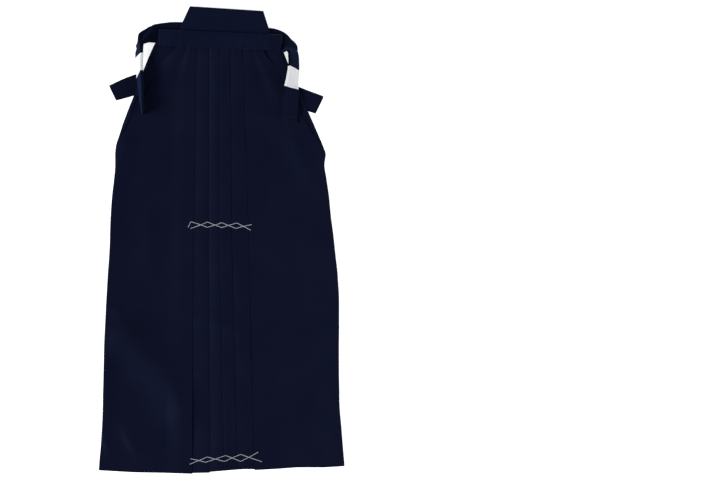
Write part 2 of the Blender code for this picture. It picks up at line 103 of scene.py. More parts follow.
OUTER_PLEAT_DEPTH = 19.0       # the same in millimetres for the outer pleat
NARROW_FIELD = 90.0            # where the field is narrower than this, that pleat is shallower
FIELD_POINTS = 64
FIELD_SLOPE = 0.24             # share of the field that slopes at each of its sides
SLOPE_LEAST = 30.0             # but they run out over at least this width, up to half the field
# x and height of the hem, and then its height on the strips between the pleats
HEM_RIGHT = [(-265, -497.4), (-190, -501.8), (-130, -502.8), (-64, -504.8)]
HEM_STRIPS = (-502.4, -497.6, -494.9, -494.6)
BACK_PLEAT_X = 6.0             # edge of the single pleat at the back
RIB = 0.00075                  # pitch of the twill's ribs, in metres as all of a material
# Height, and how far the ties folded under the back lift it there; the front takes it up earlier
BACK_LIFT = [(245, 0.0), (285, 3.0), (312, 3.2), (343, 5.8), (380, 6.4), (406, 8.4), (440, 8.4)]
LIFT_LEAD = 8.0

# Folds that the cloth has taken from being laid out: height, width on the +X side of the crest and
# on its other side, and the points that the crest passes
SOFT_FOLDS = [
    (10.6, 24.0, 35.0, [(-246, -156), (-220, -184), (-176, -232), (-142, -268), (-116, -304), (-98, -342),
                        (-84, -386), (-76, -432)]),
    (3.6, 13.0, 18.0, [(-250, -214), (-252, -262), (-252, -320), (-249, -372), (-244, -410)]),
    (2.2, 15.0, 5.0, [(-266, -380), (-258, -410), (-251, -436), (-245, -462), (-240, -494)]),
    (3.4, 26.0, 6.5, [(-232, -384), (-214, -408), (-202, -430), (-187, -455), (-166, -486)]),
    (5.0, 11.0, 15.0, [(-194, 266), (-204, 230), (-209, 194), (-222, 154), (-233, 112), (-239, 66),
                       (-243, 10)]),
    (2.8, 17.0, 8.0, [(-240, 100), (-247, 40), (-250, -30), (-251, -90), (-250, -150)]),
    (4.4, 12.0, 18.0, [(128, 268), (150, 234), (170, 190), (188, 148), (200, 96)]),
    (1.7, 10.0, 12.0, [(-102, -165), (-60, -172), (-14, -178), (20, -190), (52, -206), (100, -214)]),
    (1.3, 9.0, 9.0, [(-104, -284), (-74, -279), (-44, -284), (-12, -296)]),
    (1.2, 10.0, 12.0, [(18, -262), (48, -272), (84, -268), (118, -280)]),
    (1.5, 8.0, 12.0, [(256, -314), (236, -338), (216, -350), (194, -352)]),
    (2.6, 14.0, 24.0, [(150, -356), (166, -402), (176, -446), (184, -488)]),
    (1.8, 20.0, 18.0, [(196, 44), (203, -40), (206, -120), (204, -190)]),
    (2.0, 7.0, 7.0, [(-256, -140), (-238, -148), (-220, -160), (-204, -176)]),
    (0.7, 2.4, 7.0, [(112, 146), (109, 60), (104, -60), (101, -160), (100, -238)]),
    (1.4, 18.0, 16.0, [(-150, 120), (-158, 30), (-152, -60), (-132, -120)]),
    (0.6, 9.0, 18.0, [(-118, 330), (-128, 282), (-134, 232), (-134, 170)]),
    (0.7, 8.0, 22.0, [(96, 322), (104, 280), (110, 238), (112, 196)]),
]


def ease(value, start=0.0, end=1.0):
    """Smooth step from 0 at start to 1 at end."""
    held = np.clip((value - start) / (end - start), 0.0, 1.0)
    return held * held * (3.0 - 2.0 * held)


def follow(rows, y, place):
    """Smooth curve through one column of a table, read at height y, with no overshoot."""
    heights = np.array([row[0] for row in rows][::-1], dtype=float)
    values = np.array([row[place] for row in rows][::-1], dtype=float)
    steps = np.diff(heights)
    slopes = np.diff(values) / steps
    before, after = slopes[:-1], slopes[1:]
    same_way = before * after > 0.0
    total = np.where(same_way, before + after, 1.0)
    lean = np.concatenate([slopes[:1], np.where(same_way, 2.0 * before * after / total, 0.0), slopes[-1:]])
    y = min(max(y, heights[0]), heights[-1])
    at = int(min(max(np.searchsorted(heights, y, side="right") - 1, 0), len(steps) - 1))
    t = (y - heights[at]) / steps[at]
    rise = values[at + 1] - values[at]
    bend = 3.0 * rise - steps[at] * (2.0 * lean[at] + lean[at + 1])
    close = steps[at] * (lean[at] + lean[at + 1]) - 2.0 * rise
    return float(values[at] + t * (steps[at] * lean[at] + t * (bend + t * close)))


def read_points(points, x):
    """Second place of a list of points, read at x in straight runs."""
    return np.interp(x, [point[0] for point in points], [point[1] for point in points])


def smooth_rows(rows, count):
    """Catmull-Rom curve through every column of a table."""
    table = np.array(rows, dtype=float)
    longer = np.vstack([2 * table[0] - table[1], table, 2 * table[-1] - table[-2]])
    result = []
    for place in np.linspace(0.0, len(table) - 1.0, count):
        index = min(int(place), len(table) - 2)
        t = place - index
        a, b, c, d = longer[index], longer[index + 1], longer[index + 2], longer[index + 3]
        result.append(b + 0.5 * t * (c - a + t * (2 * a - 5 * b + 4 * c - d + t * (3 * (b - c) + d - a))))
    return np.array(result)


def wavy(x, y, grain, seed):
    """Even noise from -1 to 1 over the plan, with swells about one grain wide."""
    return np.array([noise.noise(Vector((a / grain, b / grain, seed))) for a, b in zip(x, y)])


CREST_LINES = [smooth_rows(points, 5 * len(points)) for _, _, _, points in SOFT_FOLDS]


def soft_folds(x, y):
    """Height of the soft folds at places of the front."""
    height = np.zeros(len(x))
    for (crest, plus_side, other_side, _), line in zip(SOFT_FOLDS, CREST_LINES):
        spread = 3.2 * max(plus_side, other_side)
        near = (x > line[:, 0].min() - spread) & (x < line[:, 0].max() + spread)
        near &= (y > line[:, 1].min() - spread) & (y < line[:, 1].max() + spread)
        if not near.any():
            continue
        px, py = x[near][:, None], y[near][:, None]
        start, step = line[:-1], np.diff(line, axis=0)
        length = np.hypot(step[:, 0], step[:, 1])
        share = ((px - start[:, 0]) * step[:, 0] + (py - start[:, 1]) * step[:, 1]) / length ** 2
        share = np.clip(share, 0.0, 1.0)
        off_x = px - start[:, 0] - share * step[:, 0]
        off_y = py - start[:, 1] - share * step[:, 1]
        away = np.hypot(off_x, off_y)
        nearest = away.argmin(axis=1)
        pick = (np.arange(len(nearest)), nearest)
        side = step[nearest, 0] * off_y[pick] - step[nearest, 1] * off_x[pick]
        along = (np.cumsum(length) - length)[nearest] + share[pick] * length[nearest]
        run_out = min(70.0, 0.45 * length.sum())
        fade = ease(along / run_out) * ease((length.sum() - along) / run_out)
        width = np.where(side > 0.0, plus_side, other_side)
        height[near] += crest * fade * np.exp(-0.5 * (away[pick] / width) ** 2)
    return height


def inner_end(y):
    """X where the right leg ends, hidden under the left leg's inner pleat."""
    inner, outer = follow(PLEATS, y, 4), follow(PLEATS, y, 5)
    return inner + 0.24 * (outer - inner)


def back_lift(y):
    """How far the ties folded under the back lift it off the table."""
    return np.mean([read_points(BACK_LIFT, y + shift) for shift in (-9.0, -4.5, 0.0, 4.5, 9.0)], axis=0)


def seam_rise(x, y):
    """The back pleat's edge stands a little off the table, over its basting thread."""
    return 1.1 * ease(x, 24.0, 12.0) * ease(x, -60.0, -30.0) * ease(y, 300.0, 240.0)


def front_base(x, y):
    """Height above the table of the lowest layer of the front.

    It rises over the layers of the backs at the middle and over all of them near the waist, enters the
    band, comes down under the leaf pleat, and has swells, gathers under the band and a seam allowance.
    """
    ends = np.interp(-y, [-row[0] for row in PLEATS], [inner_end(row[0]) for row in PLEATS])
    middle = ease(x, BACK_PLEAT_X - 40.0, BACK_PLEAT_X - 4.0) * ease(x, ends + 52.0, ends + 8.0)
    raised = 1.0 - (1.0 - middle) * (1.0 - ease(y, 360.0, 404.0))
    base = back_lift(y + LIFT_LEAD) + LAYER + 2.0 * LAYER * raised + seam_rise(x, y) + CLOTH / 2
    base += WAIST_ROOM * ease(y, 372.0, 408.0)
    leaf = np.where(x < 0.0, np.interp(y, *LEAF_PLACES[0]), np.interp(y, *LEAF_PLACES[1]))
    base -= LEAF_SETTLED * ease(np.abs(x), leaf - 26.0, leaf - 2.0) * ease(y, 300.0, 380.0)
    swell = 0.40 * (1.0 + wavy(x, y, 85.0, 2.3)) + 0.14 * wavy(x, y, 27.0, 7.9)
    gathered = 0.16 * np.exp((y - 414.0) / 16.0) * np.sin(x / 1.9 + 2.5 * wavy(x, y, 30.0, 4.4))
    allowance = 0.55 * ease(y, 398.0, 401.0) * (1.0 - ease(x, -84.0, -66.0) * ease(x, 72.0, 54.0))
    return base + soft_folds(x, y) + swell + gathered + allowance


def line_to(path, u, level, steps):
    """Go straight on from the path's last point."""
    from_u, from_level = path[-1]
    for step in range(1, steps + 1):
        share = step / steps
        path.append((from_u + share * (u - from_u), from_level + share * (level - from_level)))


def swell_to(path, u, level, points):
    """Go on from the path's last point in a smooth step to a level."""
    from_u, from_level = path[-1]
    for share in np.linspace(0.0, 1.0, points)[1:]:
        path.append((from_u + share * (u - from_u), from_level + (level - from_level) * float(ease(share))))


def fold(path, edge, facing, level_in, level_out):
    """Turn back round a fold whose edge lies at u = edge."""
    middle, half = (level_in + level_out) / 2, (level_in - level_out) / 2
    for angle in np.linspace(0.0, math.pi, FOLD_POINTS):
        reach = FOLD_REACH * (1.0 - math.sin(angle))
        path.append((edge - facing * reach, middle + half * math.cos(angle)))


def pleated_path(edge, turn, creases, ending, cover, crest_lift):
    """Folded section of a front: turned edge, field, then knife pleats to the middle.

    ending is where the cloth ends under the other leg's pleat, whose edge is at cover; without one it
    ends in the last pleat's fold.
    """
    depth = OUTER_PLEAT_DEPTH * min(1.0, (creases[0] - edge) / NARROW_FIELD)
    path = [(edge + turn, 0.0)]
    line_to(path, edge + FOLD_SPAN, 0.0, 4)
    fold(path, edge, -1.0, 0.0, LAYER)
    start, end = edge + turn + PRESSED, creases[0] - depth - PRESSED
    line_to(path, start, LAYER, 5)
    sloping = max(FIELD_SLOPE, min(0.5, SLOPE_LEAST / (end - start)))
    crest = 2.0 * LAYER + crest_lift
    for share in np.linspace(0.0, 1.0, FIELD_POINTS)[1:]:
        fall = LAYER * (1.0 - ease(share / sloping))
        climb = crest * ease((share - 1.0 + sloping) / sloping)
        path.append((start + share * (end - start), fall + climb))
    line_to(path, creases[0] - CREST_SPAN, crest, 8)
    before_pleats = len(path)
    for place, crease in enumerate(creases):
        fold(path, crease, 1.0, crest, LAYER)
        crest = 2.0 * LAYER
        last = place == len(creases) - 1
        if last and ending is None:
            line_to(path, crease - depth, LAYER, 4)
            break
        line_to(path, crease - depth + FOLD_SPAN, LAYER, 4)
        fold(path, crease - depth, -1.0, LAYER, 0.0)
        line_to(path, crease + PAST_FOLD, 0.0, 5)
        swell_to(path, crease + PAST_FOLD + LIP, LIP_HEIGHT, 7)
        if last:
            falls_to = cover - PAST_FOLD
            line_to(path, falls_to - LIP, LIP_HEIGHT, 5)
            swell_to(path, falls_to, 0.0, 7)
            line_to(path, ending, 0.0, 4)
            break
        following = creases[place + 1]
        depth = PLEAT_DEPTH * (following - crease)
        rises_to = following - depth - PRESSED
        swell_to(path, rises_to, crest, 9)
        for share in np.linspace(0.0, 1.0, 9)[1:]:
            puff = PUFF * math.sin(math.pi * share)
            path.append((rises_to + share * (following - CREST_SPAN - rises_to), crest + puff))
    return path, before_pleats


def wall(path, thickness):
    """A cloth wall along a folded path of (across, level) points: one face, then the other."""
    path = np.array(path)
    runs = np.diff(path, axis=0)
    runs /= np.linalg.norm(runs, axis=1)[:, None]
    into, out = np.vstack([runs[:1], runs]), np.vstack([runs, runs[-1:]])
    along = into + out
    along /= np.linalg.norm(along, axis=1)[:, None]
    reach = thickness / 2 / np.maximum((along * out).sum(axis=1), 0.6)
    normal = np.column_stack([-along[:, 1], along[:, 0]]) * reach[:, None]
    return np.vstack([path + normal, path - normal])


def lengths_along(way):
    """Length from a way's start to each of its points."""
    return np.concatenate([[0.0], np.cumsum(np.linalg.norm(np.diff(np.array(way), axis=0), axis=1))])


def pick(pieces):
    """Select these pieces only, the first of them active."""
    bpy.ops.object.select_all(action="DESELECT")
    for piece in pieces:
        piece.select_set(True)
    bpy.context.view_layer.objects.active = pieces[0]


def closed_piece(name, points, faces):
    """A piece from points in millimetres, with its faces turned outwards."""
    mesh = bpy.data.meshes.new(name)
    mesh.from_pydata((points * MM).tolist(), [], faces)
    piece = bpy.data.objects.new(name, mesh)
    bpy.context.scene.collection.objects.link(piece)
    pick([piece])
    bpy.ops.object.mode_set(mode="EDIT")
    bpy.ops.mesh.select_all(action="SELECT")
    bpy.ops.mesh.normals_make_consistent(inside=False)
    bpy.ops.object.mode_set(mode="OBJECT")
    return piece


def dress(piece, material):
    """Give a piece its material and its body."""
    piece.data.materials.append(material)
    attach(piece, "root")
    return piece


def cloth_piece(name, rings, along, across, material):
    """One closed piece of cloth from rings of points: one face of the wall, then the other.

    along and across are the cloth's own lengths at each point of a face, for the weave.
    """
    rings = np.array(rings)
    rows, around = rings.shape[0], rings.shape[1]
    count = around // 2
    order = list(range(count)) + list(range(around - 1, count - 1, -1))
    faces = []
    for row in range(rows - 1):
        top, low = row * around, (row + 1) * around
        for index in range(around):
            a, b = order[index], order[(index + 1) % around]
            faces.append((top + a, top + b, low + b, low + a))
    for top, flip in ((0, False), ((rows - 1) * around, True)):
        for index in range(count - 1):
            quad = (top + index, top + count + index, top + count + index + 1, top + index + 1)
            faces.append(quad[::-1] if flip else quad)
    piece = closed_piece(name, rings.reshape(-1, 3), faces)
    bpy.ops.object.shade_smooth_by_angle(angle=math.radians(55.0))
    corners = np.empty(len(piece.data.loops), dtype=np.int32)
    piece.data.loops.foreach_get("vertex_index", corners)
    lengths = [np.tile(np.array(measure), 2).reshape(-1)[corners] for measure in (across, along)]
    weave = piece.data.uv_layers.new(name="cloth")
    weave.data.foreach_set("uv", (np.column_stack(lengths) * MM).reshape(-1))
    return dress(piece, material)


def plain_finish(name, roughness, gloss):
    """A new material, its tree of nodes and its surface shader."""
    material = bpy.data.materials.new(name)
    material.use_nodes = True
    tree = material.node_tree
    shader = tree.nodes["Principled BSDF"]
    shader.inputs["Roughness"].default_value = roughness
    shader.inputs["Specular IOR Level"].default_value = gloss
    return material, tree, shader


def fitted(tree, kind, **values):
    """A new node with the inputs that are named set to their values."""
    node = tree.nodes.new(kind)
    for name, value in values.items():
        node.inputs[name.replace("_", " ")].default_value = value
    return node


def on_weave(tree):
    """Place on the cloth or paper itself."""
    place = tree.nodes.new("ShaderNodeUVMap")
    place.uv_map = "cloth"
    return place.outputs["UV"]


def cloudy(tree, place, scale, detail, roughness=0.5, stretch=None):
    """Cloudy strength from 0 to 1 over a place, narrowed each way by stretch where it is given."""
    if stretch:
        narrowed = fitted(tree, "ShaderNodeMapping", Scale=stretch)
        tree.links.new(place, narrowed.inputs["Vector"])
        place = narrowed.outputs["Vector"]
    clouds = fitted(tree, "ShaderNodeTexNoise", Scale=scale, Detail=detail, Roughness=roughness)
    tree.links.new(place, clouds.inputs["Vector"])
    return clouds.outputs["Fac"]


def worked_out(tree, operation, *parts):
    """Result of an operation on parts that are numbers or other nodes' results."""
    step = tree.nodes.new("ShaderNodeMath")
    step.operation = operation
    for socket, part in zip(step.inputs, parts):
        if isinstance(part, float):
            socket.default_value = part
        else:
            tree.links.new(part, socket)
    return step.outputs["Value"]


def colour_and_relief(tree, shader, tone, dark, light, height, strength, depth):
    """The shader's colour goes from dark to light with tone, its surface up and down with height."""
    shades = tree.nodes.new("ShaderNodeValToRGB")
    shades.color_ramp.elements[0].color = (*dark, 1.0)
    shades.color_ramp.elements[1].color = (*light, 1.0)
    relief = fitted(tree, "ShaderNodeBump", Strength=strength, Distance=depth)
    tree.links.new(tone, shades.inputs["Fac"])
    tree.links.new(shades.outputs["Color"], shader.inputs["Base Color"])
    tree.links.new(height, relief.inputs["Height"])
    tree.links.new(relief.outputs["Normal"], shader.inputs["Normal"])


def navy_twill(name, dark, light, sheen, gloss, mirrored):
    """Dyed twill: fine diagonal ribs, uneven yarns and a faint bloom of the dye over wider areas."""
    material, tree, shader = plain_finish(name, 0.56, gloss)
    shader.inputs["Specular Tint"].default_value = (*mirrored, 1.0)
    shader.inputs["Sheen Weight"].default_value = sheen
    shader.inputs["Sheen Roughness"].default_value = 0.5
    shader.inputs["Sheen Tint"].default_value = (0.22, 0.38, 1.0, 1.0)
    place = on_weave(tree)
    ribs = fitted(tree, "ShaderNodeTexWave", Scale=0.444 / RIB, Distortion=0.7, Detail=2.0, Detail_Scale=1.6)
    ribs.bands_direction = "DIAGONAL"
    tree.links.new(place, ribs.inputs["Vector"])
    yarns = cloudy(tree, place, 1.0, 3.0, stretch=(2600.0, 90.0, 1.0))
    bloom = cloudy(tree, place, 9.0, 4.0, 0.62)
    uneven = worked_out(tree, "MULTIPLY", yarns, 0.55)
    woven = worked_out(tree, "MULTIPLY_ADD", ribs.outputs["Fac"], 0.45, uneven)
    dyed = worked_out(tree, "MULTIPLY_ADD", bloom, 0.9, -0.45)
    tone = worked_out(tree, "ADD", woven, dyed)
    tone.node.use_clamp = True
    colour_and_relief(tree, shader, tone, dark, light, woven, 0.35, 0.00012)
    return material


NAVY_TWILL = navy_twill("navy_twill", (0.0017, 0.0019, 0.0075), (0.0051, 0.0058, 0.0164), 0.08, 0.12,
                        (0.24, 0.36, 0.94))
HEM_ROWS = [-493.0, -497.0]
ROWS_FRONT = np.concatenate([np.arange(420.0, 200.0, -5.0), np.arange(200.0, -494.0, -6.4), HEM_ROWS])


def hem_doubling(y, hem):
    """Thickness of the cloth: doubled where the allowance is turned up inside the hem."""
    return CLOTH + (HEM_CLOTH - CLOTH) * float(ease(y, hem + HEM_DEPTH, hem + HEM_DEPTH - 3.0))


def hung(y, rows, top, hem):
    """Height of a point in the row of nominal height y, where the piece's top and hem lie askew."""
    return top + (hem - top) * (rows[0] - y) / (rows[0] - rows[-1])


def front_top(x):
    """Height of the pleats' tops, inside the waistband."""
    return WAIST_Y - BAND_HEIGHT / 2 + TUCKED_IN + BAND_SLOPE * (x - BAND_MIDDLE_X)


def front_leg(name, side, outline_place, leaf, creases, under_other, hem_outer, hem_inner, crest_bump):
    """A front; side is +1 where inwards is +X, for the right leg, and -1 for the left.

    crest_bump raises the outer pleat's crest about one height: that height, its reach and how much.
    """
    rings, along, across = [], [], []
    for y in ROWS_FRONT:
        at_side = follow(OUTLINE, y, outline_place)
        height = hung(y, ROWS_FRONT, front_top(at_side), read_points(hem_outer, at_side))
        edge = abs(follow(OUTLINE, height, outline_place)) - 0.7
        turn = SIDE_TURN
        if height > OPENING_END_Y:
            edge = min(edge, abs(follow(leaf, height, 1)))
            broader = float(ease(height, OPENING_END_Y, OPENING_END_Y + 60.0))
            turn = SIDE_TURN + (LEAF_TURN - SIDE_TURN) * broader
            turn = min(turn, 0.3 * (edge + side * follow(PLEATS, y, creases[0])))
        edge += 0.5 * noise.noise(Vector((y / 38.0, 1.7, 3.1 * side)))
        lines = []
        for place in creases:
            wander = 0.45 * noise.noise(Vector((y / 46.0, 9.2 * place, side)))
            lines.append(side * follow(PLEATS, y, place) + wander)
        bump_y, bump_reach, bump_height = crest_bump
        crest_lift = bump_height * math.exp(-((y - bump_y) / bump_reach) ** 2)
        end = inner_end(y) if under_other else None
        path, before = pleated_path(-edge, turn, lines, end, follow(PLEATS, y, 4), crest_lift)
        both = wall(path, hem_doubling(y, ROWS_FRONT[-1]))
        x = side * both[:, 0]
        hem = read_points(hem_outer, x)
        index = np.concatenate([np.arange(len(path))] * 2)
        inner = np.interp(index, np.linspace(before, len(path), len(hem_inner)), hem_inner)
        hem = np.where(index > before, inner, hem)
        actual = hung(y, ROWS_FRONT, front_top(x), hem)
        rings.append(np.column_stack([x, actual, both[:, 1] + front_base(x, actual)]))
        across.append(lengths_along(path))
        along.append(actual[:len(path)])
    return cloth_piece(name, rings, along, across, NAVY_TWILL)


right_front = front_leg("front_right_cloth", 1.0, 1, LEAF_RIGHT, (1, 2, 3), True,
                        HEM_RIGHT, (-504.8,) + HEM_STRIPS[0:3], (-385.0, 80.0, 2.6))
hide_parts("front_right_leg")


# Left leg, front --------------------------------------------------------------------------------
# The same cloth, mirrored, with two knife pleats that face the middle. The inner one covers the end
# of the right leg's front, and so the two legs look like one row of five pleats.
HEM_LEFT = [(71, -496.8), (122, -494.2), (161, -491.2), (221, -491.2), (265, -488.4)]
left_front = front_leg("front_left_cloth", -1.0, 2, LEAF_LEFT, (5, 4), False,
                       HEM_LEFT, (-496.8,) + HEM_STRIPS[2:4], (-230.0, 90.0, 1.0))
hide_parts("front_left_leg")


# Both legs, back --------------------------------------------------------------------------------
# A plain breadth for each leg, that lies on the table. The left one is folded back at the middle in
# a single pleat, and the right one lies over that. Both are a little shorter than the fronts.
BACK_HEM_SHORTER = 2.5
BOARD_FOOT = (5.8, 432.6)      # middle of the seam between board and backs
BOARD_SLOPE = -0.065
ROWS_BACK = np.concatenate([np.arange(432.0, 200.0, -6.0), np.arange(200.0, -494.0, -8.0), HEM_ROWS])


def back_hem(x):
    """Height of the backs' hem."""
    right, left = read_points(HEM_RIGHT, x), read_points(HEM_LEFT, x)
    return right + (left - right) * ease(x, HEM_RIGHT[-1][0], HEM_LEFT[0][0]) + BACK_HEM_SHORTER


def back_top(x):
    """Height of the backs' upper edge, at the board's foot."""
    return BOARD_FOOT[1] - 0.2 + BOARD_SLOPE * (x - BOARD_FOOT[0])


def back_outline(y, outline_place):
    """X of a back's outer edge in the row of nominal height y."""
    at_side = follow(OUTLINE, y, outline_place)
    return follow(OUTLINE, hung(y, ROWS_BACK, back_top(at_side), back_hem(at_side)), outline_place)


def back_swell(x, y):
    """Faint swells of a back's cloth."""
    return 0.16 * (1.0 + wavy(x, y, 60.0, 5.1))


def back_leg(name, side, section, middle_rise, shorter):
    """A back, from its outer edge to the middle; section gives the folded path at one height."""
    rings, along, across = [], [], []
    for y in ROWS_BACK:
        path = section(y)
        both = wall(path, hem_doubling(y, ROWS_BACK[-1]))
        x = side * both[:, 0]
        actual = hung(y, ROWS_BACK, back_top(x), back_hem(x) + shorter)
        z = both[:, 1] + back_lift(actual) + seam_rise(x, actual)
        z += middle_rise * ease(x, BACK_PLEAT_X - 38.0, BACK_PLEAT_X - 3.0)
        z += back_swell(x, actual) + CLOTH / 2
        rings.append(np.column_stack([x, actual, z]))
        across.append(lengths_along(path))
        along.append(actual[:len(path)])
    return cloth_piece(name, rings, along, across, NAVY_TWILL)


def right_back_path(y):
    """Plain from its outer edge, over the pleat's fold, to its end."""
    path = [(back_outline(y, 1) + 0.5, 0.0)]
    line_to(path, BACK_PLEAT_X - 40.0, 0.0, 44)
    line_to(path, BACK_PLEAT_X, 0.0, 20)
    line_to(path, inner_end(y), 0.0, 10)
    return path


def left_back_path(y):
    """From its outer edge to the pleat's fold at the middle, and back under itself."""
    path = [(-back_outline(y, 2) + 0.5, 0.0)]
    line_to(path, -BACK_PLEAT_X - 30.0, 0.0, 40)
    line_to(path, -BACK_PLEAT_X - CREST_SPAN, 0.0, 14)
    fold(path, -BACK_PLEAT_X, 1.0, 0.0, LAYER)
    line_to(path, -inner_end(y) - 4.0, LAYER, 12)
    return path


right_back = back_leg("back_right_cloth", 1.0, right_back_path, 2.0 * LAYER, 0.0)
left_back = back_leg("back_left_cloth", -1.0, left_back_path, 0.0, 1.5)
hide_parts("back_right_leg")
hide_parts("back_left_leg")


# Turned edges of the side openings --------------------------------------------------------------
# Above the side seam the back's edge is turned in and pressed, a doubled strip that narrows to
# nothing where the front's leaf pleat comes down over it.
EDGE_TURN = 8.0                # the strip's width at the waist
EDGE_CLOTH = 0.7
EDGE_ROWS = np.arange(424.0, 225.0, -4.0)
EDGE_RISE = 2.2                # height of the strip's inner side
EDGE_GROOVE = 2.4              # from the strip to the leaf pleat beside it


def opening_edge(name, side, outline_place, leaf):
    """The strip beside one opening, from the waist down to where it is covered."""
    rings, along, across = [], [], []
    for y in EDGE_ROWS:
        edge = abs(follow(OUTLINE, y, outline_place)) - 0.4 - 2.0 * float(ease(y, 250.0, 220.0))
        width = min(EDGE_TURN, edge - abs(follow(leaf, y, 1)) - EDGE_GROOVE)
        width = max(width, 1.6) + 0.4 * noise.noise(Vector((y / 24.0, 4.0, side)))
        path = [(-edge + width, EDGE_RISE)]
        line_to(path, -edge + FOLD_SPAN, 1.2, 5)
        fold(path, -edge + 0.1, -1.0, 1.2, 0.38)
        path.pop()
        both = wall(path, EDGE_CLOTH)
        x = side * both[:, 0]
        actual = np.full(len(x), y)
        rings.append(np.column_stack([x, actual, both[:, 1] + back_lift(actual) + back_swell(x, actual)]))
        across.append(lengths_along(path))
        along.append(actual[:len(path)])
    return cloth_piece(name, rings, along, across, NAVY_TWILL)


right_edge = opening_edge("back_right_edge", 1.0, 1, LEAF_RIGHT)
left_edge = opening_edge("back_left_edge", -1.0, 2, LEAF_LEFT)


# Waistband --------------------------------------------------------------------------------------
# A straight strip of the same cloth, folded lengthwise over the tops of the pleats and topstitched
# along its lower edge. The pleats show through it as faint upright ridges.
BAND_LENGTH = 268.0
BAND_FRONT_Z = 18.0
BAND_BACK_Z = 12.7
BAND_CLOTH = 0.75
BAND_SAGS = 30.0               # both ends of the band come down over this length
BAND_CROWN = 2.0               # radius round its upper edge
BAND_RELIEF = [
    # distance from the band's right end, height, width
    (44.0, -0.5, 1.6), (50.0, 0.4, 5.0), (84.0, 0.35, 3.0), (110.0, 0.35, 3.0), (134.0, 0.3, 3.0),
    (160.0, 0.35, 3.0), (176.5, -0.55, 1.4), (181.0, 0.4, 4.0), (230.0, -0.5, 1.5), (236.0, 0.3, 4.0),
]
BAND_TWILL = navy_twill("navy_band_twill", (0.0021, 0.0025, 0.0087), (0.0058, 0.0067, 0.0191), 0.08, 0.12,
                        (0.20, 0.33, 1.0))


def slanted(centre, slope, across, along):
    """A point given along and across a line that leans by slope."""
    length = math.hypot(1.0, slope)
    run = (1.0 / length, slope / length)
    return (centre[0] + along * run[0] - across * run[1], centre[1] + along * run[1] + across * run[0])


def band_sag(along):
    """How far down the band is towards an end, from 0 to 1."""
    return float(ease(min(along, BAND_LENGTH - along), BAND_SAGS, 0.0))


def band_front(along, across):
    """Height of the band's outer face."""
    height = BAND_FRONT_Z + 0.25 * noise.noise(Vector((along / 34.0, across / 20.0, 1.2)))
    for place, crest, width in BAND_RELIEF:
        leaning = place + 0.06 * across
        height += crest * math.exp(-((along - leaning) / width) ** 2)
    height += 0.5 * math.sin(math.pi * (across / BAND_HEIGHT + 0.5))
    return height - 3.0 * band_sag(along)


def waistband():
    """The band from end to end: turned in at its foot, round the crown and down behind."""
    rings, along_rows, across_rows = [], [], []
    half = BAND_HEIGHT / 2
    for along in np.concatenate([[0.0, 0.5, 1.4], np.arange(3.0, 265.5, 2.0), [266.6, 267.5, 268.0]]):
        pinch = 1.0 - 0.93 * float(ease(min(along, BAND_LENGTH - along), 3.0, 0.0))
        inner = BAND_BACK_Z - 2.0 * band_sag(along)
        path = [(-half + 3.0, 0.0)]
        line_to(path, -half + 1.0, 0.0, 2)
        fold(path, -half, -1.0, 0.0, 0.95)
        line_to(path, half - BAND_CROWN, 0.95, 16)
        for angle in np.linspace(0.0, math.pi, 9)[1:-1]:
            path.append((half - BAND_CROWN + BAND_CROWN * math.sin(angle), 0.5 + 0.45 * math.cos(angle)))
        line_to(path, -half + 1.0, 0.05, 14)
        section = []
        crown = next(place for place, point in enumerate(path) if point[0] > half - 0.001)
        for place, (v, share) in enumerate(path):
            outer = band_front(along, v)
            centre = (outer + inner) / 2
            face = outer if place <= crown else inner
            if place <= FOLD_POINTS + 2:
                level = outer - 0.85 * (1.0 - share / 0.95)
            elif v < half - BAND_CROWN:
                level = face
            else:
                level = centre + abs(face - centre) * (share - 0.5) / 0.45
            section.append((v, centre + (level - centre) * pinch))
        rings.append([(*slanted((BAND_MIDDLE_X, WAIST_Y), BAND_SLOPE, v, along - BAND_LENGTH / 2), level)
                      for v, level in wall(section, BAND_CLOTH * pinch)])
        along_rows.append(lengths_along(section))
        across_rows.append(np.full(len(section), along))
    return cloth_piece("waistband_cloth", rings, along_rows, across_rows, BAND_TWILL)


band = waistband()
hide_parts("front_waistband")


# Topstitching of the waistband ------------------------------------------------------------------
# A row of navy machine stitches holds the band's lower edge down. One stitch is a short plump
# length of thread that dips into the cloth at both ends; it is made once and copied along the row.
STITCH_PITCH = 4.0
STITCH_LENGTH = 3.2
STITCH_THICK = 0.6
STITCH_ABOVE_EDGE = 3.4


def thread_finish(name, colour, twist, sheen):
    """Spun cotton: soft, with fine fibres that follow the twist."""
    material, tree, shader = plain_finish(name, 0.75, sheen)
    shader.inputs["Sheen Weight"].default_value = sheen
    fibres = cloudy(tree, tree.nodes.new("ShaderNodeTexCoord").outputs["Object"], twist, 3.0)
    dark = [0.72 * part for part in colour]
    colour_and_relief(tree, shader, fibres, dark, colour, fibres, 0.4, 0.00008)
    return material


NAVY_THREAD = thread_finish("navy_thread", (0.0028, 0.0036, 0.0120), 2400.0, 0.0)


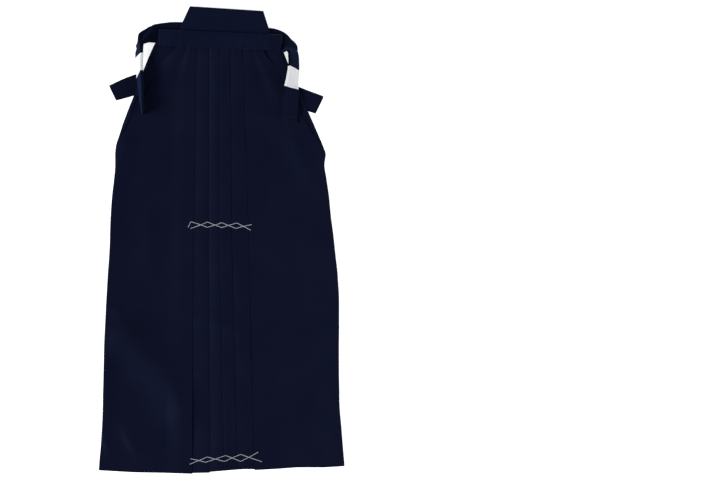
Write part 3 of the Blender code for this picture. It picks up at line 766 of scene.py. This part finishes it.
def row_of_stitches(name, ends):
    """Copies of one stitch, each from a point to a point, joined into one piece."""
    thick = STITCH_THICK * MM
    bpy.ops.object.select_all(action="DESELECT")
    bpy.ops.mesh.primitive_uv_sphere_add(segments=8, ring_count=6, radius=0.5, location=(0, 0, 0))
    stitch = bpy.context.object
    bpy.ops.object.mode_set(mode="EDIT")
    bpy.ops.mesh.select_all(action="SELECT")
    bpy.ops.transform.resize(value=(1.0, thick, 0.8 * thick))
    bpy.ops.object.mode_set(mode="OBJECT")
    bpy.ops.object.shade_smooth()
    for point in stitch.data.vertices:
        point.co.z -= 0.45 * thick * (2.0 * abs(point.co.x)) ** 4
    copies = []
    for start, end in ends:
        start, end = Vector(start) * MM, Vector(end) * MM
        turn = (end - start).to_track_quat("X", "Z").to_matrix().to_4x4()
        drawn_out = turn @ Matrix.Diagonal(((end - start).length, 1, 1, 1))
        copy = bpy.data.objects.new(name, stitch.data.copy())
        copy.data.transform(Matrix.Translation((start + end) / 2) @ drawn_out)
        bpy.context.scene.collection.objects.link(copy)
        copies.append(copy)
    bpy.data.objects.remove(stitch)
    pick(copies)
    bpy.ops.object.join()
    piece = bpy.context.object
    piece.name = name
    return dress(piece, NAVY_THREAD)


def seen_from(piece_list, upwards):
    """Reads the height of the first cloth that a line meets, from above or from below."""
    trees = [BVHTree.FromObject(piece, bpy.context.evaluated_depsgraph_get()) for piece in piece_list]
    start, heading, nearest = (-0.2, 1.0, min) if upwards else (0.2, -1.0, max)

    def height(x, y):
        line = (Vector((x * MM, y * MM, start)), Vector((0, 0, heading)))
        hits = [tree.ray_cast(*line)[0] for tree in trees]
        return nearest(hit.z / MM for hit in hits if hit is not None)

    return height


def seam(centre, slope, start, end, margins, height, above):
    """Ends of the stitches between two places, each given across and along a slanted piece."""
    run = math.dist(start, end)
    pairs = []
    for begin in np.arange(margins[0], run - margins[1], STITCH_PITCH):
        pair = []
        for share in (begin / run, (begin + STITCH_LENGTH) / run):
            x, y = slanted(centre, slope, start[0] + share * (end[0] - start[0]),
                           start[1] + share * (end[1] - start[1]))
            pair.append((x, y, height(x, y) + above))
        pairs.append(pair)
    return pairs


seam_line = STITCH_ABOVE_EDGE - BAND_HEIGHT / 2
band_seam = seam((BAND_MIDDLE_X, WAIST_Y), BAND_SLOPE, (seam_line, -BAND_LENGTH / 2),
                 (seam_line, BAND_LENGTH / 2), (8.0, 9.0), seen_from([band], False), 0.08)
row_of_stitches("waistband_stitches", band_seam)


# Back board -------------------------------------------------------------------------------------
# A stiff trapezoid plate wrapped in the same cloth, which lies over the small of the back. Its foot is
# sewn to the top of the back, and its edges are pulled round and topstitched.
BOARD_HEIGHT = 67.0
BOARD_TOP_WIDTH = 159.0
BOARD_FOOT_WIDTH = 211.0
BOARD_THICK = 3.6
BOARD_BOTTOM = 7.8             # it lies on the back ties
BOARD_ROUNDING = 1.3
BOARD_STITCH_INSET = 4.5
BOARD_CROWN = 0.35             # its cover is a little fuller at the middle
BOARD_RIPPLE = 0.22


def back_board():
    """The covered plate: a block narrowed at its top, rounded, and slightly crowned and uneven."""
    middle = slanted(BOARD_FOOT, BOARD_SLOPE, BOARD_HEIGHT / 2, 0.0)
    centre = Vector((*middle, BOARD_BOTTOM + BOARD_THICK / 2)) * MM
    bpy.ops.object.select_all(action="DESELECT")
    bpy.ops.mesh.primitive_cube_add(size=1.0, location=(0, 0, 0))
    board = bpy.context.object
    board.name = "back_board_covered"
    bpy.ops.object.mode_set(mode="EDIT")
    bpy.ops.mesh.select_all(action="SELECT")
    bpy.ops.transform.resize(value=(BOARD_FOOT_WIDTH * MM, BOARD_HEIGHT * MM, BOARD_THICK * MM))
    bpy.ops.mesh.select_all(action="DESELECT")
    bpy.ops.object.mode_set(mode="OBJECT")
    for point in board.data.vertices:
        point.select = point.co.y > 0
    bpy.ops.object.mode_set(mode="EDIT")
    narrowing = (BOARD_TOP_WIDTH / BOARD_FOOT_WIDTH, 1.0, 1.0)
    bpy.ops.transform.resize(value=narrowing, center_override=(0, 0, 0))
    bpy.ops.mesh.select_all(action="SELECT")
    bpy.ops.mesh.bevel(offset=BOARD_ROUNDING * MM, segments=4, profile=0.5)
    bpy.ops.object.mode_set(mode="OBJECT")
    for face in board.data.polygons:
        face.select = abs(face.normal.z) > 0.99
    for edge in board.data.edges:
        edge.select = False
    bpy.ops.object.mode_set(mode="EDIT")
    bpy.ops.mesh.select_mode(type="FACE")
    bpy.ops.mesh.inset(thickness=2.5 * MM, depth=0.0)
    bpy.ops.mesh.subdivide(number_cuts=14, smoothness=0.0)
    bpy.ops.object.mode_set(mode="OBJECT")
    half_foot, half_height = BOARD_FOOT_WIDTH / 2 * MM, BOARD_HEIGHT / 2 * MM
    for point in board.data.vertices:
        x, y, z = point.co
        crown = max(0.0, 1.0 - (x / half_foot) ** 2) * max(0.0, 1.0 - (y / half_height) ** 2)
        ripple = noise.noise(Vector((x / 0.045, y / 0.03, 6.6))) * BOARD_RIPPLE * MM
        point.co.z += (BOARD_CROWN * MM * crown + ripple) * (1.0 if z > 0 else -0.3)
    board.data.transform(Matrix.Translation(centre) @ Matrix.Rotation(math.atan(BOARD_SLOPE), 4, "Z"))
    weave = board.data.uv_layers.get("UVMap") or board.data.uv_layers.new(name="UVMap")
    weave.name = "cloth"
    for loop in board.data.loops:
        place = board.data.vertices[loop.vertex_index].co
        weave.data[loop.index].uv = (place.x + place.z, place.y + place.z)
    pick([board])
    bpy.ops.object.shade_smooth_by_angle(angle=math.radians(40.0))
    return dress(board, BAND_TWILL)


board = back_board()
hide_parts("back_board")

on_board = seen_from([board], False)
side_run = (BOARD_FOOT_WIDTH - BOARD_TOP_WIDTH) / 2 / BOARD_HEIGHT
foot_at, top_at = 3.0, BOARD_HEIGHT - BOARD_STITCH_INSET
foot_reach = BOARD_FOOT_WIDTH / 2 - BOARD_STITCH_INSET - 1.0
top_reach = foot_reach - side_run * (top_at - foot_at)
corners = [(foot_at, -foot_reach), (top_at, -top_reach), (top_at, top_reach), (foot_at, foot_reach)]
board_seam = []
for corner, following in zip(corners, corners[1:]):
    board_seam += seam(BOARD_FOOT, BOARD_SLOPE, corner, following, (1.0, STITCH_LENGTH), on_board, 0.02)
row_of_stitches("back_board_stitches", board_seam)


# Ties -------------------------------------------------------------------------------------------
# Long straps, each a strip folded in four and pressed, with its seam near one edge. For storage each
# is folded to and fro on itself. The back ties run out from the board's foot, round the sides and down
# over the fronts; the front ties cross under the back and show at the hips.
TIE_WIDTH = 34.0
TIE_CLOTH = 1.1                # one folded strip
TIE_STEP = 3.0                 # between two sections along it
FLAT = (0.0, 2.4)              # roll and thickness of a front tie
FRONT_TIE_LEFT = [
    # x, y, z, roll, thick
    (x, y, 1.4, *FLAT) for x, y in (
        (112.0, 396.0), (66.0, 404.0), (20.0, 400.0), (-40.0, 383.6), (-110.0, 360.4), (-187.0, 336.2),
        (-236.4, 318.6))
]
FRONT_TIE_RIGHT = [
    # x, y, z, roll, thick
    (*place, *FLAT) for place in (
        (-122.0, 408.0, 4.0), (-90.0, 399.0, 4.0), (-45.0, 387.0, 4.0), (0.0, 377.0, 4.0),
        (34.0, 369.0, 3.8), (62.0, 359.0, 2.4), (90.0, 346.0, 1.4), (125.0, 329.0, 1.4),
        (165.0, 311.0, 1.4), (211.0, 292.0, 1.4))
]
BACK_TIE_RIGHT = [
    # x, y, z, roll, thick, lean of the section along the run
    (-0.6, 445.0, 3.7, 0.0, 5.2, 0.0), (-41.0, 449.0, 3.7, 0.0, 5.2, 0.0),
    (-80.0, 453.0, 3.7, 0.0, 5.2, 0.0), (-112.0, 453.2, 3.7, 0.0, 5.2, 0.0),
    (-134.0, 450.0, 4.6, 5.0, 5.6, 0.0), (-151.6, 445.4, 9.6, 24.0, 6.2, -0.35),
    (-165.8, 439.6, 15.6, 56.0, 7.8, -0.80), (-175.4, 430.8, 17.8, 84.0, 10.8, -0.90),
    (-177.1, 417.6, 18.2, 103.0, 10.2, -0.62), (-178.0, 401.6, 18.2, 112.0, 6.8, -0.36),
    (-177.8, 384.0, 18.5, 111.0, 6.0, -0.32), (-176.6, 363.0, 22.0, 108.0, 6.0, -0.32),
    (-174.8, 338.0, 25.5, 107.0, 6.0, -0.20), (-172.8, 308.0, 25.2, 103.0, 6.0, -0.05),
    (-169.0, 270.0, 25.4, 95.0, 5.8, 0.0),
]
BACK_TIE_LEFT = [
    # x, y, z, roll, thick
    (0.6, 445.0, 3.7, 0.0, 5.2), (45.0, 442.8, 3.7, 0.0, 5.2), (86.0, 442.0, 3.7, 0.0, 5.2),
    (111.0, 439.4, 3.7, 0.0, 5.2), (127.0, 432.6, 3.9, 0.0, 5.6), (138.0, 421.0, 5.4, -4.0, 6.2),
    (151.2, 410.0, 16.4, -58.0, 6.8), (154.6, 396.0, 17.2, -58.0, 6.4), (155.4, 381.0, 17.4, -56.0, 6.0),
    (155.2, 366.0, 19.6, -54.0, 6.0), (152.6, 347.0, 21.6, -50.0, 6.0), (149.8, 328.0, 21.2, -40.0, 6.0),
    (148.2, 307.0, 17.0, -22.0, 6.0), (147.0, 284.0, 13.4, -5.0, 6.0), (145.4, 256.0, 12.1, 0.0, 5.8),
]
# Layers of a folded tie from its sewn end: place in the stack, and the shares of the run between which
# it lies. Each layer goes the other way from the one before.
FRONT_TIE_LAYERS = [(0.5, 0.0, 0.998), (-0.5, 1.0, 0.12)]
BACK_TIE_LAYERS = [(1.5, 0.17, 0.976), (0.5, 0.976, 0.022), (-0.5, 0.022, 0.998), (-1.5, 0.998, 0.012)]
TIE_TWILL = navy_twill("navy_tie_twill", (0.0025, 0.0031, 0.0100), (0.0069, 0.0083, 0.0222), 0.12, 0.0,
                       (0.20, 0.33, 1.0))
# Shares of a run, and how far each layer lies beside the others there
LEFT_FRONT_FAN = [(0.0, 0.0, 0.0), (0.72, 0.0, 0.0), (0.85, 0.0, -1.8), (1.0, 0.0, -2.2)]
RIGHT_FRONT_FAN = [(0.0, 0.0, 0.0), (0.60, 0.0, -1.0), (0.80, 1.3, -7.0), (0.92, 2.1, -7.0),
                   (1.0, 2.9, -5.0)]
RIGHT_BACK_FAN = [(0.0, 0.0, 0.0, 0.0, 0.0), (0.22, 0.0, 0.0, 0.0, 0.0), (0.31, -7.0, -4.0, 1.0, 0.0),
                  (0.37, 0.0, 0.0, 1.0, 0.0), (1.0, 0.0, 0.0, 0.0, 0.0)]
NO_FAN = [(0.0,) * 5, (1.0,) + (0.0,) * 4]
TIE_FACE = [
    # distance across from the middle, height above the strip's middle; the dip is the seam
    (-17.0, 0.14), (-16.75, 0.36), (-16.2, 0.50), (-15.2, 0.55), (-14.6, 0.38), (-14.0, 0.55), (-8.0, 0.58),
    (0.0, 0.60), (8.0, 0.58), (15.0, 0.55), (16.2, 0.50), (16.75, 0.36), (17.0, 0.14),
]
RUN_STEPS = 241
PARTING = 0.36                 # the layers part over this last share of the run
FULLNESS = 1.15                # of the ties' folds, against a half circle


def tie_run(rows, side):
    """The way that a tie takes: middle, width, face and heading at even steps along it."""
    table = smooth_rows(rows, RUN_STEPS)
    headings = np.gradient(table[:, 0:3], axis=0)
    leans = table[:, 5] if table.shape[1] > 5 else np.zeros(len(table))
    steps = []
    for row, ahead, lean in zip(table, headings, leans):
        ahead = ahead / np.linalg.norm(ahead)
        outer = np.array([-ahead[1], ahead[0], 0.0]) * side
        outer = outer / np.linalg.norm(outer)
        angle = math.radians(row[3])
        wide = outer * math.cos(angle) + np.array([0.0, 0.0, 1.0]) * math.sin(angle)
        wide = wide - ahead * np.dot(wide, ahead)
        wide = wide / np.linalg.norm(wide)
        middle = (row[0], row[1], max(row[2], row[4] / 2))
        face = np.cross(ahead, wide) * side
        steps.append(np.concatenate([middle, wide + lean * ahead, face, ahead, [row[4]]]))
    return np.array(steps)


def read_run(run, share):
    """Middle, width, face, heading and thickness of a tie at a share of its run."""
    place = np.linspace(0.0, 1.0, len(run))
    found = np.array([np.interp(share, place, column) for column in run.T])
    middle, wide, face, ahead = found[:12].reshape(4, 3)
    return middle, wide, face / np.linalg.norm(face), ahead / np.linalg.norm(ahead), found[12]


def folded_tie(name, rows, side, layers, spread, fan, slant, seed):
    """One strip that goes to and fro along its run, one layer under another.

    spread is how far the layers part evenly beside each other before the far folds, fan how far each
    lies aside besides, and slant is how much those folds lean. Gives the piece and the strip's length.
    """
    run = tie_run(rows, side)
    length = lengths_along(run[:, 0:3])[-1]
    fan = np.array(fan)

    def beside(place, share):
        aside = 0.55 * noise.noise(Vector((share * 5.0, 3.7 * place, seed)))
        aside += 0.35 * noise.noise(Vector((place * 1.9, 0.3, seed)))
        aside += spread * layers[place][0] * math.sin(math.pi * min(1.0, (1.0 - share) / PARTING))
        return aside + float(np.interp(share, fan[:, 0], fan[:, place + 1]))

    stations = []
    for place, (stack, start, end) in enumerate(layers):
        turned = 1.0 if place % 2 == 0 else -1.0
        for share in np.linspace(start, end, int(abs(end - start) * length / TIE_STEP)):
            middle, wide, face, ahead, thick = read_run(run, share)
            pitch = (thick - TIE_CLOTH) / (len(layers) - 1)
            aside = beside(place, share)
            lean = slant[place] * float(ease(share, 0.80, 1.0)) * ahead
            stations.append((middle + face * stack * pitch + wide * aside, wide, face * turned, lean))
        if place == len(layers) - 1:
            break
        heading = ahead if end > start else -ahead
        half = (stack - layers[place + 1][0]) / 2 * pitch
        bend = middle + face * (stack * pitch - half)
        onwards = beside(place + 1, end)
        for angle in np.linspace(0.0, math.pi, 9)[1:-1]:
            around = face * math.cos(angle) + heading * math.sin(angle)
            sideways = aside + (onwards - aside) * angle / math.pi
            bulge = face * half * math.cos(angle) + heading * FULLNESS * half * math.sin(angle)
            stations.append((bend + bulge + wide * sideways, wide, around * turned, lean))
    rings = []
    face_across, face_height = np.array(TIE_FACE).T
    for index, (middle, wide, normal, lean) in enumerate(stations):
        closing = 0.3 if index in (0, len(stations) - 1) else 1.0
        strip = middle + np.outer(face_across, wide) + np.outer(face_across, lean) / (TIE_WIDTH / 2)
        upper = strip + np.outer(face_height, normal) * closing
        lower = strip - np.outer(np.minimum(face_height + 0.1, 0.55), normal) * closing
        rings.append(np.vstack([upper, lower]))
    gone = lengths_along([station[0] for station in stations])
    along = np.repeat(gone[:, None], len(TIE_FACE), axis=1)
    tie = cloth_piece(name, rings, along, [face_across] * len(rings), TIE_TWILL)
    return tie, float(gone[-1])


left_front_tie, left_front_length = folded_tie(
    "front_tie_left_cloth", FRONT_TIE_LEFT, -1.0, FRONT_TIE_LAYERS, 7.0, LEFT_FRONT_FAN, (1.8, 1.8), 1.3)
right_front_tie, right_front_length = folded_tie(
    "front_tie_right_cloth", FRONT_TIE_RIGHT, 1.0, FRONT_TIE_LAYERS, 0.0, RIGHT_FRONT_FAN, (1.0, 1.0), 2.6)
right_back_tie, right_back_length = folded_tie(
    "back_tie_right_cloth", BACK_TIE_RIGHT, -1.0, BACK_TIE_LAYERS, 0.25, RIGHT_BACK_FAN,
    (1.5, 1.5, 1.0, 1.0), 4.2)
left_back_tie, left_back_length = folded_tie(
    "back_tie_left_cloth", BACK_TIE_LEFT, 1.0, BACK_TIE_LAYERS, 0.3, NO_FAN,
    (-3.0, -3.0, 4.5, 4.5), 5.8)
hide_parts("front_tie_left")
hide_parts("front_tie_right")
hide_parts("back_tie_right")
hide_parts("back_tie_left")
for tie, length, under in ((left_front_tie, left_front_length, ["floor"]),
                           (right_front_tie, right_front_length, ["floor", "front_tie_left_cloth"]),
                           (right_back_tie, right_back_length, ["back_right_cloth"]),
                           (left_back_tie, left_back_length, ["back_left_cloth"])):
    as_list(under)


# Paper bands ------------------------------------------------------------------------------------
# Plain strips of white paper, each wrapped once round the folded ties and glued where its end laps over
# its beginning. They keep the ties together until the garment is first worn.
PAPER = 0.3
PAPER_LAP = 12.0
PAPER_CORNER = 1.3             # radius round the bundle's corners
PAPER_HALF_WIDTH = 17.9        # it goes round a little wider than the ties
PAPER_BACK = [
    # x, y, z, roll, thick
    (-23.0, 447.0, 3.7, 0.0, 5.2), (-3.5, 445.3, 3.7, 0.0, 5.2), (15.5, 444.3, 3.7, 0.0, 5.2),
]


def paper_finish():
    """Uncoated white paper: matt, with a faint cloudiness and short fibres."""
    material, tree, shader = plain_finish("white_paper", 0.62, 0.3)
    place = on_weave(tree)
    clouds = cloudy(tree, place, 55.0, 5.0)
    fibres = cloudy(tree, place, 1.0, 3.0, stretch=(1900.0, 500.0, 1.0))
    colour_and_relief(tree, shader, clouds, (0.75, 0.755, 0.77), (0.79, 0.795, 0.805), fibres, 0.25, 0.00005)
    return material


WHITE_PAPER = paper_finish()


def wrap_path(half_deep):
    """Way round a bundle's section, with the lap lying outside the beginning, under the bundle."""
    round_box = []
    for corner, (a, b) in enumerate(((-1, -1), (-1, 1), (1, 1), (1, -1))):
        for turn in np.linspace(0.0, math.pi / 2, 5):
            angle = -math.pi / 2 - corner * math.pi / 2 - turn
            round_box.append((a * (PAPER_HALF_WIDTH - PAPER_CORNER) + PAPER_CORNER * math.cos(angle),
                              b * (half_deep - PAPER_CORNER) + PAPER_CORNER * math.sin(angle)))
    beginning, lapped = 2.0, -half_deep - 1.35 * PAPER
    path = [(beginning, -half_deep)]
    for point in round_box:
        line_to(path, point[0], point[1], 2)
    line_to(path, beginning + 1.0, -half_deep, 4)
    line_to(path, beginning - 1.5, lapped, 2)
    line_to(path, beginning - PAPER_LAP, lapped, 5)
    return path


def paper_band(name, rows, side, start, end, half_deep, skew):
    """A band over part of a tie's run; skew is how much further on its outer edge lies."""
    run = tie_run(rows, side)
    length = lengths_along(run[:, 0:3])[-1]
    path = wrap_path(half_deep)
    rings, along, across = [], [], []
    for share in np.linspace(start, end, 19):
        ring = []
        for a, b in wall(path, PAPER):
            middle, wide, face, _, _ = read_run(run, share + skew * a / PAPER_HALF_WIDTH / 2 / length)
            ring.append(middle + wide * a + face * b)
        rings.append(ring)
        across.append(lengths_along(path))
        along.append([share * length] * len(path))
    band = cloth_piece(name, rings, along, across, WHITE_PAPER)
    strip_width = float(lengths_along(np.mean(np.array(rings), axis=1))[-1])
    return band


right_paper = paper_band("paper_band_right_wrap", BACK_TIE_RIGHT, -1.0, 37 / 56, 45 / 56, 3.45, 0.0)
left_paper = paper_band("paper_band_left_wrap", BACK_TIE_LEFT, 1.0, 35 / 56, 44 / 56, 3.45, 7.0)
back_paper = paper_band("paper_band_back_wrap", PAPER_BACK, -1.0, 0.0, 1.0, 3.05, 0.0)
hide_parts("paper_band_right")
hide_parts("paper_band_left")
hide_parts("paper_band_back")


# Basting threads --------------------------------------------------------------------------------
# White two-ply cotton holds the pleats while the garment is new: two crossed rows on the front, one
# above the knees and one above the hem, and a long loose line down the pleat at the back.
THREAD_STRAND = 0.36           # radius of one ply
THREAD_TWIST = 3.4             # length of one whole turn of the two plies
THREAD_STEP = 0.6
ABOVE_CLOTH = 0.75             # from the fronts' cloth up to the thread's middle
BELOW_CLOTH = 0.62             # from the backs' cloth down to it
OVER_THREAD = 1.1              # how much it rises over another thread
OVER_REACH = 2.4               # and how near to it
KNOT_RADIUS = 0.62
TWIST_STEPS = 7
STRAND_SIDES = 6
WHITE_THREAD = thread_finish("white_basting_thread", (0.60, 0.62, 0.68), 1800.0, 0.2)
UPPER_ROW = [
    [(-73.5, 26.8), (-67.3, 39.7), (-45.4, 32.6), (-31.4, 27.3), (-15.1, 32.4), (0.1, 37.5), (13.8, 31.5),
     (30.5, 25.1), (46.2, 29.6), (64.2, 33.5)],
    [(-65.7, 25.7), (-45.4, 32.6), (-31.4, 39.1), (-15.1, 32.4), (-0.4, 26.8), (13.8, 31.5), (32.2, 36.9),
     (46.2, 29.6), (62.4, 21.2)],
]
LOWER_ROW = [
    [(85.3, -478.4), (76.5, -475.2), (58.1, -468.9), (40.4, -462.7), (21.8, -470.2), (6.0, -477.8),
     (-14.3, -472.8), (-32.0, -468.3), (-49.7, -475.8), (-70.0, -484.1)],
    [(76.5, -458.8), (58.1, -468.9), (40.4, -477.8), (21.8, -470.2), (8.0, -465.0), (-14.3, -472.8),
     (-35.6, -479.7), (-49.7, -475.8), (-68.0, -472.2)],
]
BACK_LINE = [
    [(0.9, 361.0), (1.1, 313.4), (3.0, 281.9), (0.4, 246.9), (4.5, 199.4), (2.4, 170.9), (-5.0, 148.8),
     (-1.7, 129.8), (12.5, 104.3), (7.8, 82.3), (-3.9, 66.3), (-2.6, 60.0)],
    [(4.3, 45.4), (2.6, -40.0), (4.0, -130.0), (2.0, -225.0), (3.6, -320.0), (2.2, -414.7)],
    [(5.4, -425.5), (9.0, -430.0), (11.9, -436.3)],
]


def over_neighbours(values, reach, taken):
    """What is taken of each value and its neighbours, up to reach places away on both sides."""
    return np.array([taken(values[max(0, at - reach):at + reach + 1], axis=0) for at in range(len(values))])


def taut_way(points, height, over):
    """Points along straight runs of thread that bridge the hollows, and rise over another thread."""
    corners = np.array(points, dtype=float)
    way = []
    for index, (start, end) in enumerate(zip(corners, corners[1:])):
        count = max(3, int(np.linalg.norm(end - start) / THREAD_STEP))
        for share in np.linspace(0.0, 1.0, count, endpoint=index == len(corners) - 2):
            way.append(start + share * (end - start))
    smooth = over_neighbours(np.array(way), 2, np.mean)
    smooth[0], smooth[-1] = way[0], way[-1]
    level = np.array([height(x, y) for x, y in smooth])
    bridge = over_neighbours(over_neighbours(level, 6, np.max), 6, np.mean)
    crossing = np.zeros(len(smooth))
    for x, y in over:
        crossing += np.exp(-((smooth[:, 0] - x) ** 2 + (smooth[:, 1] - y) ** 2) / OVER_REACH ** 2)
    return np.column_stack([smooth, bridge + ABOVE_CLOTH + OVER_THREAD * crossing])


def loose_way(points, height):
    """A thread that lies under the cloth, between it and the table."""
    line = smooth_rows(points, 90 * len(points) // 2)
    level = np.array([height(x, y) for x, y in line])
    level = over_neighbours(over_neighbours(level, 4, np.min), 4, np.mean)
    return np.column_stack([line, np.maximum(level - BELOW_CLOTH, 2.0 * THREAD_STRAND)])


def knot(end, before):
    """Two small turns of the thread about its own end."""
    heading = (end - before) / np.linalg.norm(end - before)
    aside = np.array([-heading[1], heading[0], 0.0])
    turns = []
    for angle in np.linspace(0.0, 5.0 * math.pi, 22):
        turns.append(end + heading * (0.25 * angle / math.pi) + KNOT_RADIUS * (
            aside * math.sin(angle) + np.array([0.0, 0.0, 1.0]) * (1.0 - math.cos(angle))))
    return turns


def basting(name, ways):
    """Two strands twisted about each way, as one piece."""
    points, faces = [], []
    for way in ways:
        gone = lengths_along(way)
        stations = np.linspace(0.0, gone[-1], max(8, int(gone[-1] / THREAD_TWIST * TWIST_STEPS)))
        line = np.column_stack([np.interp(stations, gone, way[:, axis]) for axis in range(3)])
        ahead = np.gradient(line, axis=0)
        ahead /= np.linalg.norm(ahead, axis=1)[:, None]
        aside = np.cross(ahead, [0.0, 0.0, 1.0])
        aside /= np.maximum(np.linalg.norm(aside, axis=1), 0.2)[:, None]
        above = np.cross(aside, ahead)
        for strand in (0.0, math.pi):
            first = len(points)
            for place, distance in enumerate(stations):
                turn = 2.0 * math.pi * distance / THREAD_TWIST + strand
                centre = line[place] + 0.8 * THREAD_STRAND * (
                    aside[place] * math.cos(turn) + above[place] * math.sin(turn))
                radius = THREAD_STRAND * (0.35 if place in (0, len(stations) - 1) else 1.0)
                for side in range(STRAND_SIDES):
                    angle = 2.0 * math.pi * side / STRAND_SIDES
                    points.append(centre + radius * (
                        aside[place] * math.cos(angle) + above[place] * math.sin(angle)))
            for ring in range(first, len(points) - STRAND_SIDES, STRAND_SIDES):
                for side in range(STRAND_SIDES):
                    a, b = ring + side, ring + (side + 1) % STRAND_SIDES
                    faces.append((a, b, b + STRAND_SIDES, a + STRAND_SIDES))
            faces.append(tuple(range(first, first + STRAND_SIDES))[::-1])
            faces.append(tuple(range(len(points) - STRAND_SIDES, len(points))))
    piece = closed_piece(name, np.array(points), faces)
    bpy.ops.object.shade_smooth()
    return dress(piece, WHITE_THREAD)


on_front = seen_from([right_front, left_front], False)
under_back = seen_from([right_back, left_back], True)
# A knot is given as the point of the way at which it sits, for each of a row's two ways
for name, row, knotted in (("front_basting_upper", UPPER_ROW, (None, 0)),
                           ("front_basting_lower", LOWER_ROW, (1, 0))):
    ways = [taut_way(row[0], on_front, []), taut_way(row[1], on_front, row[0][2:-1:2])]
    for index, (way, at) in enumerate(zip(list(ways), knotted)):
        if at is not None:
            ways[index] = np.vstack([knot(way[at], way[at + 3])[::-1], way[at:]])
    basting(name, ways)
basting("back_basting", [loose_way(points, under_back) for points in BACK_LINE])


# Floor, light and camera ------------------------------------------------------------------------
# A white floor, a broad low light far off on the left, a softbox near on the right, and a white
# surround. The camera looks straight down from high up.
bpy.ops.object.select_all(action="DESELECT")
bpy.ops.mesh.primitive_plane_add(size=14.0, location=(0, 0, -0.0004))
floor = bpy.context.object
floor.name = "floor"
floor_finish, _, floor_shader = plain_finish("white_floor", 0.9, 0.0)
floor_shader.inputs["Base Color"].default_value = (0.92, 0.92, 0.92, 1.0)
floor_shader.inputs["Emission Color"].default_value = (1.0, 1.0, 1.0, 1.0)
floor_shader.inputs["Emission Strength"].default_value = 0.75
floor.data.materials.append(floor_finish)


def shone_from(glow, place):
    """A light that shines from a place towards the middle of the table."""
    light = bpy.data.objects.new(glow.name, glow)
    light.location = place
    light.rotation_euler = place.to_track_quat("Z", "Y").to_euler()
    bpy.context.scene.collection.objects.link(light)


elevation, bearing = math.radians(40.0), math.radians(198.0)
far_light = bpy.data.lights.new("light_left", "SUN")
far_light.energy = 2.3
far_light.angle = math.radians(24.0)
shone_from(far_light, Vector((math.cos(elevation) * math.cos(bearing),
                              math.cos(elevation) * math.sin(bearing), math.sin(elevation))))
softbox = bpy.data.lights.new("softbox_right", "AREA")
softbox.shape = "RECTANGLE"
softbox.size = 0.8
softbox.size_y = 1.5
softbox.energy = 11.5
shone_from(softbox, Vector((1.5, -0.25, 0.95)))
world = bpy.data.worlds.new("studio")
bpy.context.scene.world = world
world.use_nodes = True
surround = world.node_tree.nodes["Background"]
surround.inputs["Color"].default_value = (0.93, 0.96, 1.0, 1.0)
surround.inputs["Strength"].default_value = 0.35

CAMERA_HEIGHT = 9.0
FRAME_WIDTH = 1.5552
camera_lens = bpy.data.cameras.new("camera")
camera_lens.sensor_width = 36.0
camera_lens.lens = 36.0 * CAMERA_HEIGHT / FRAME_WIDTH
camera_lens.clip_end = 100.0
camera = bpy.data.objects.new("camera", camera_lens)
camera.location = (0.298, 0.0022, CAMERA_HEIGHT)
bpy.context.scene.collection.objects.link(camera)
bpy.context.scene.camera = camera
bpy.context.scene.view_settings.view_transform = "Standard"
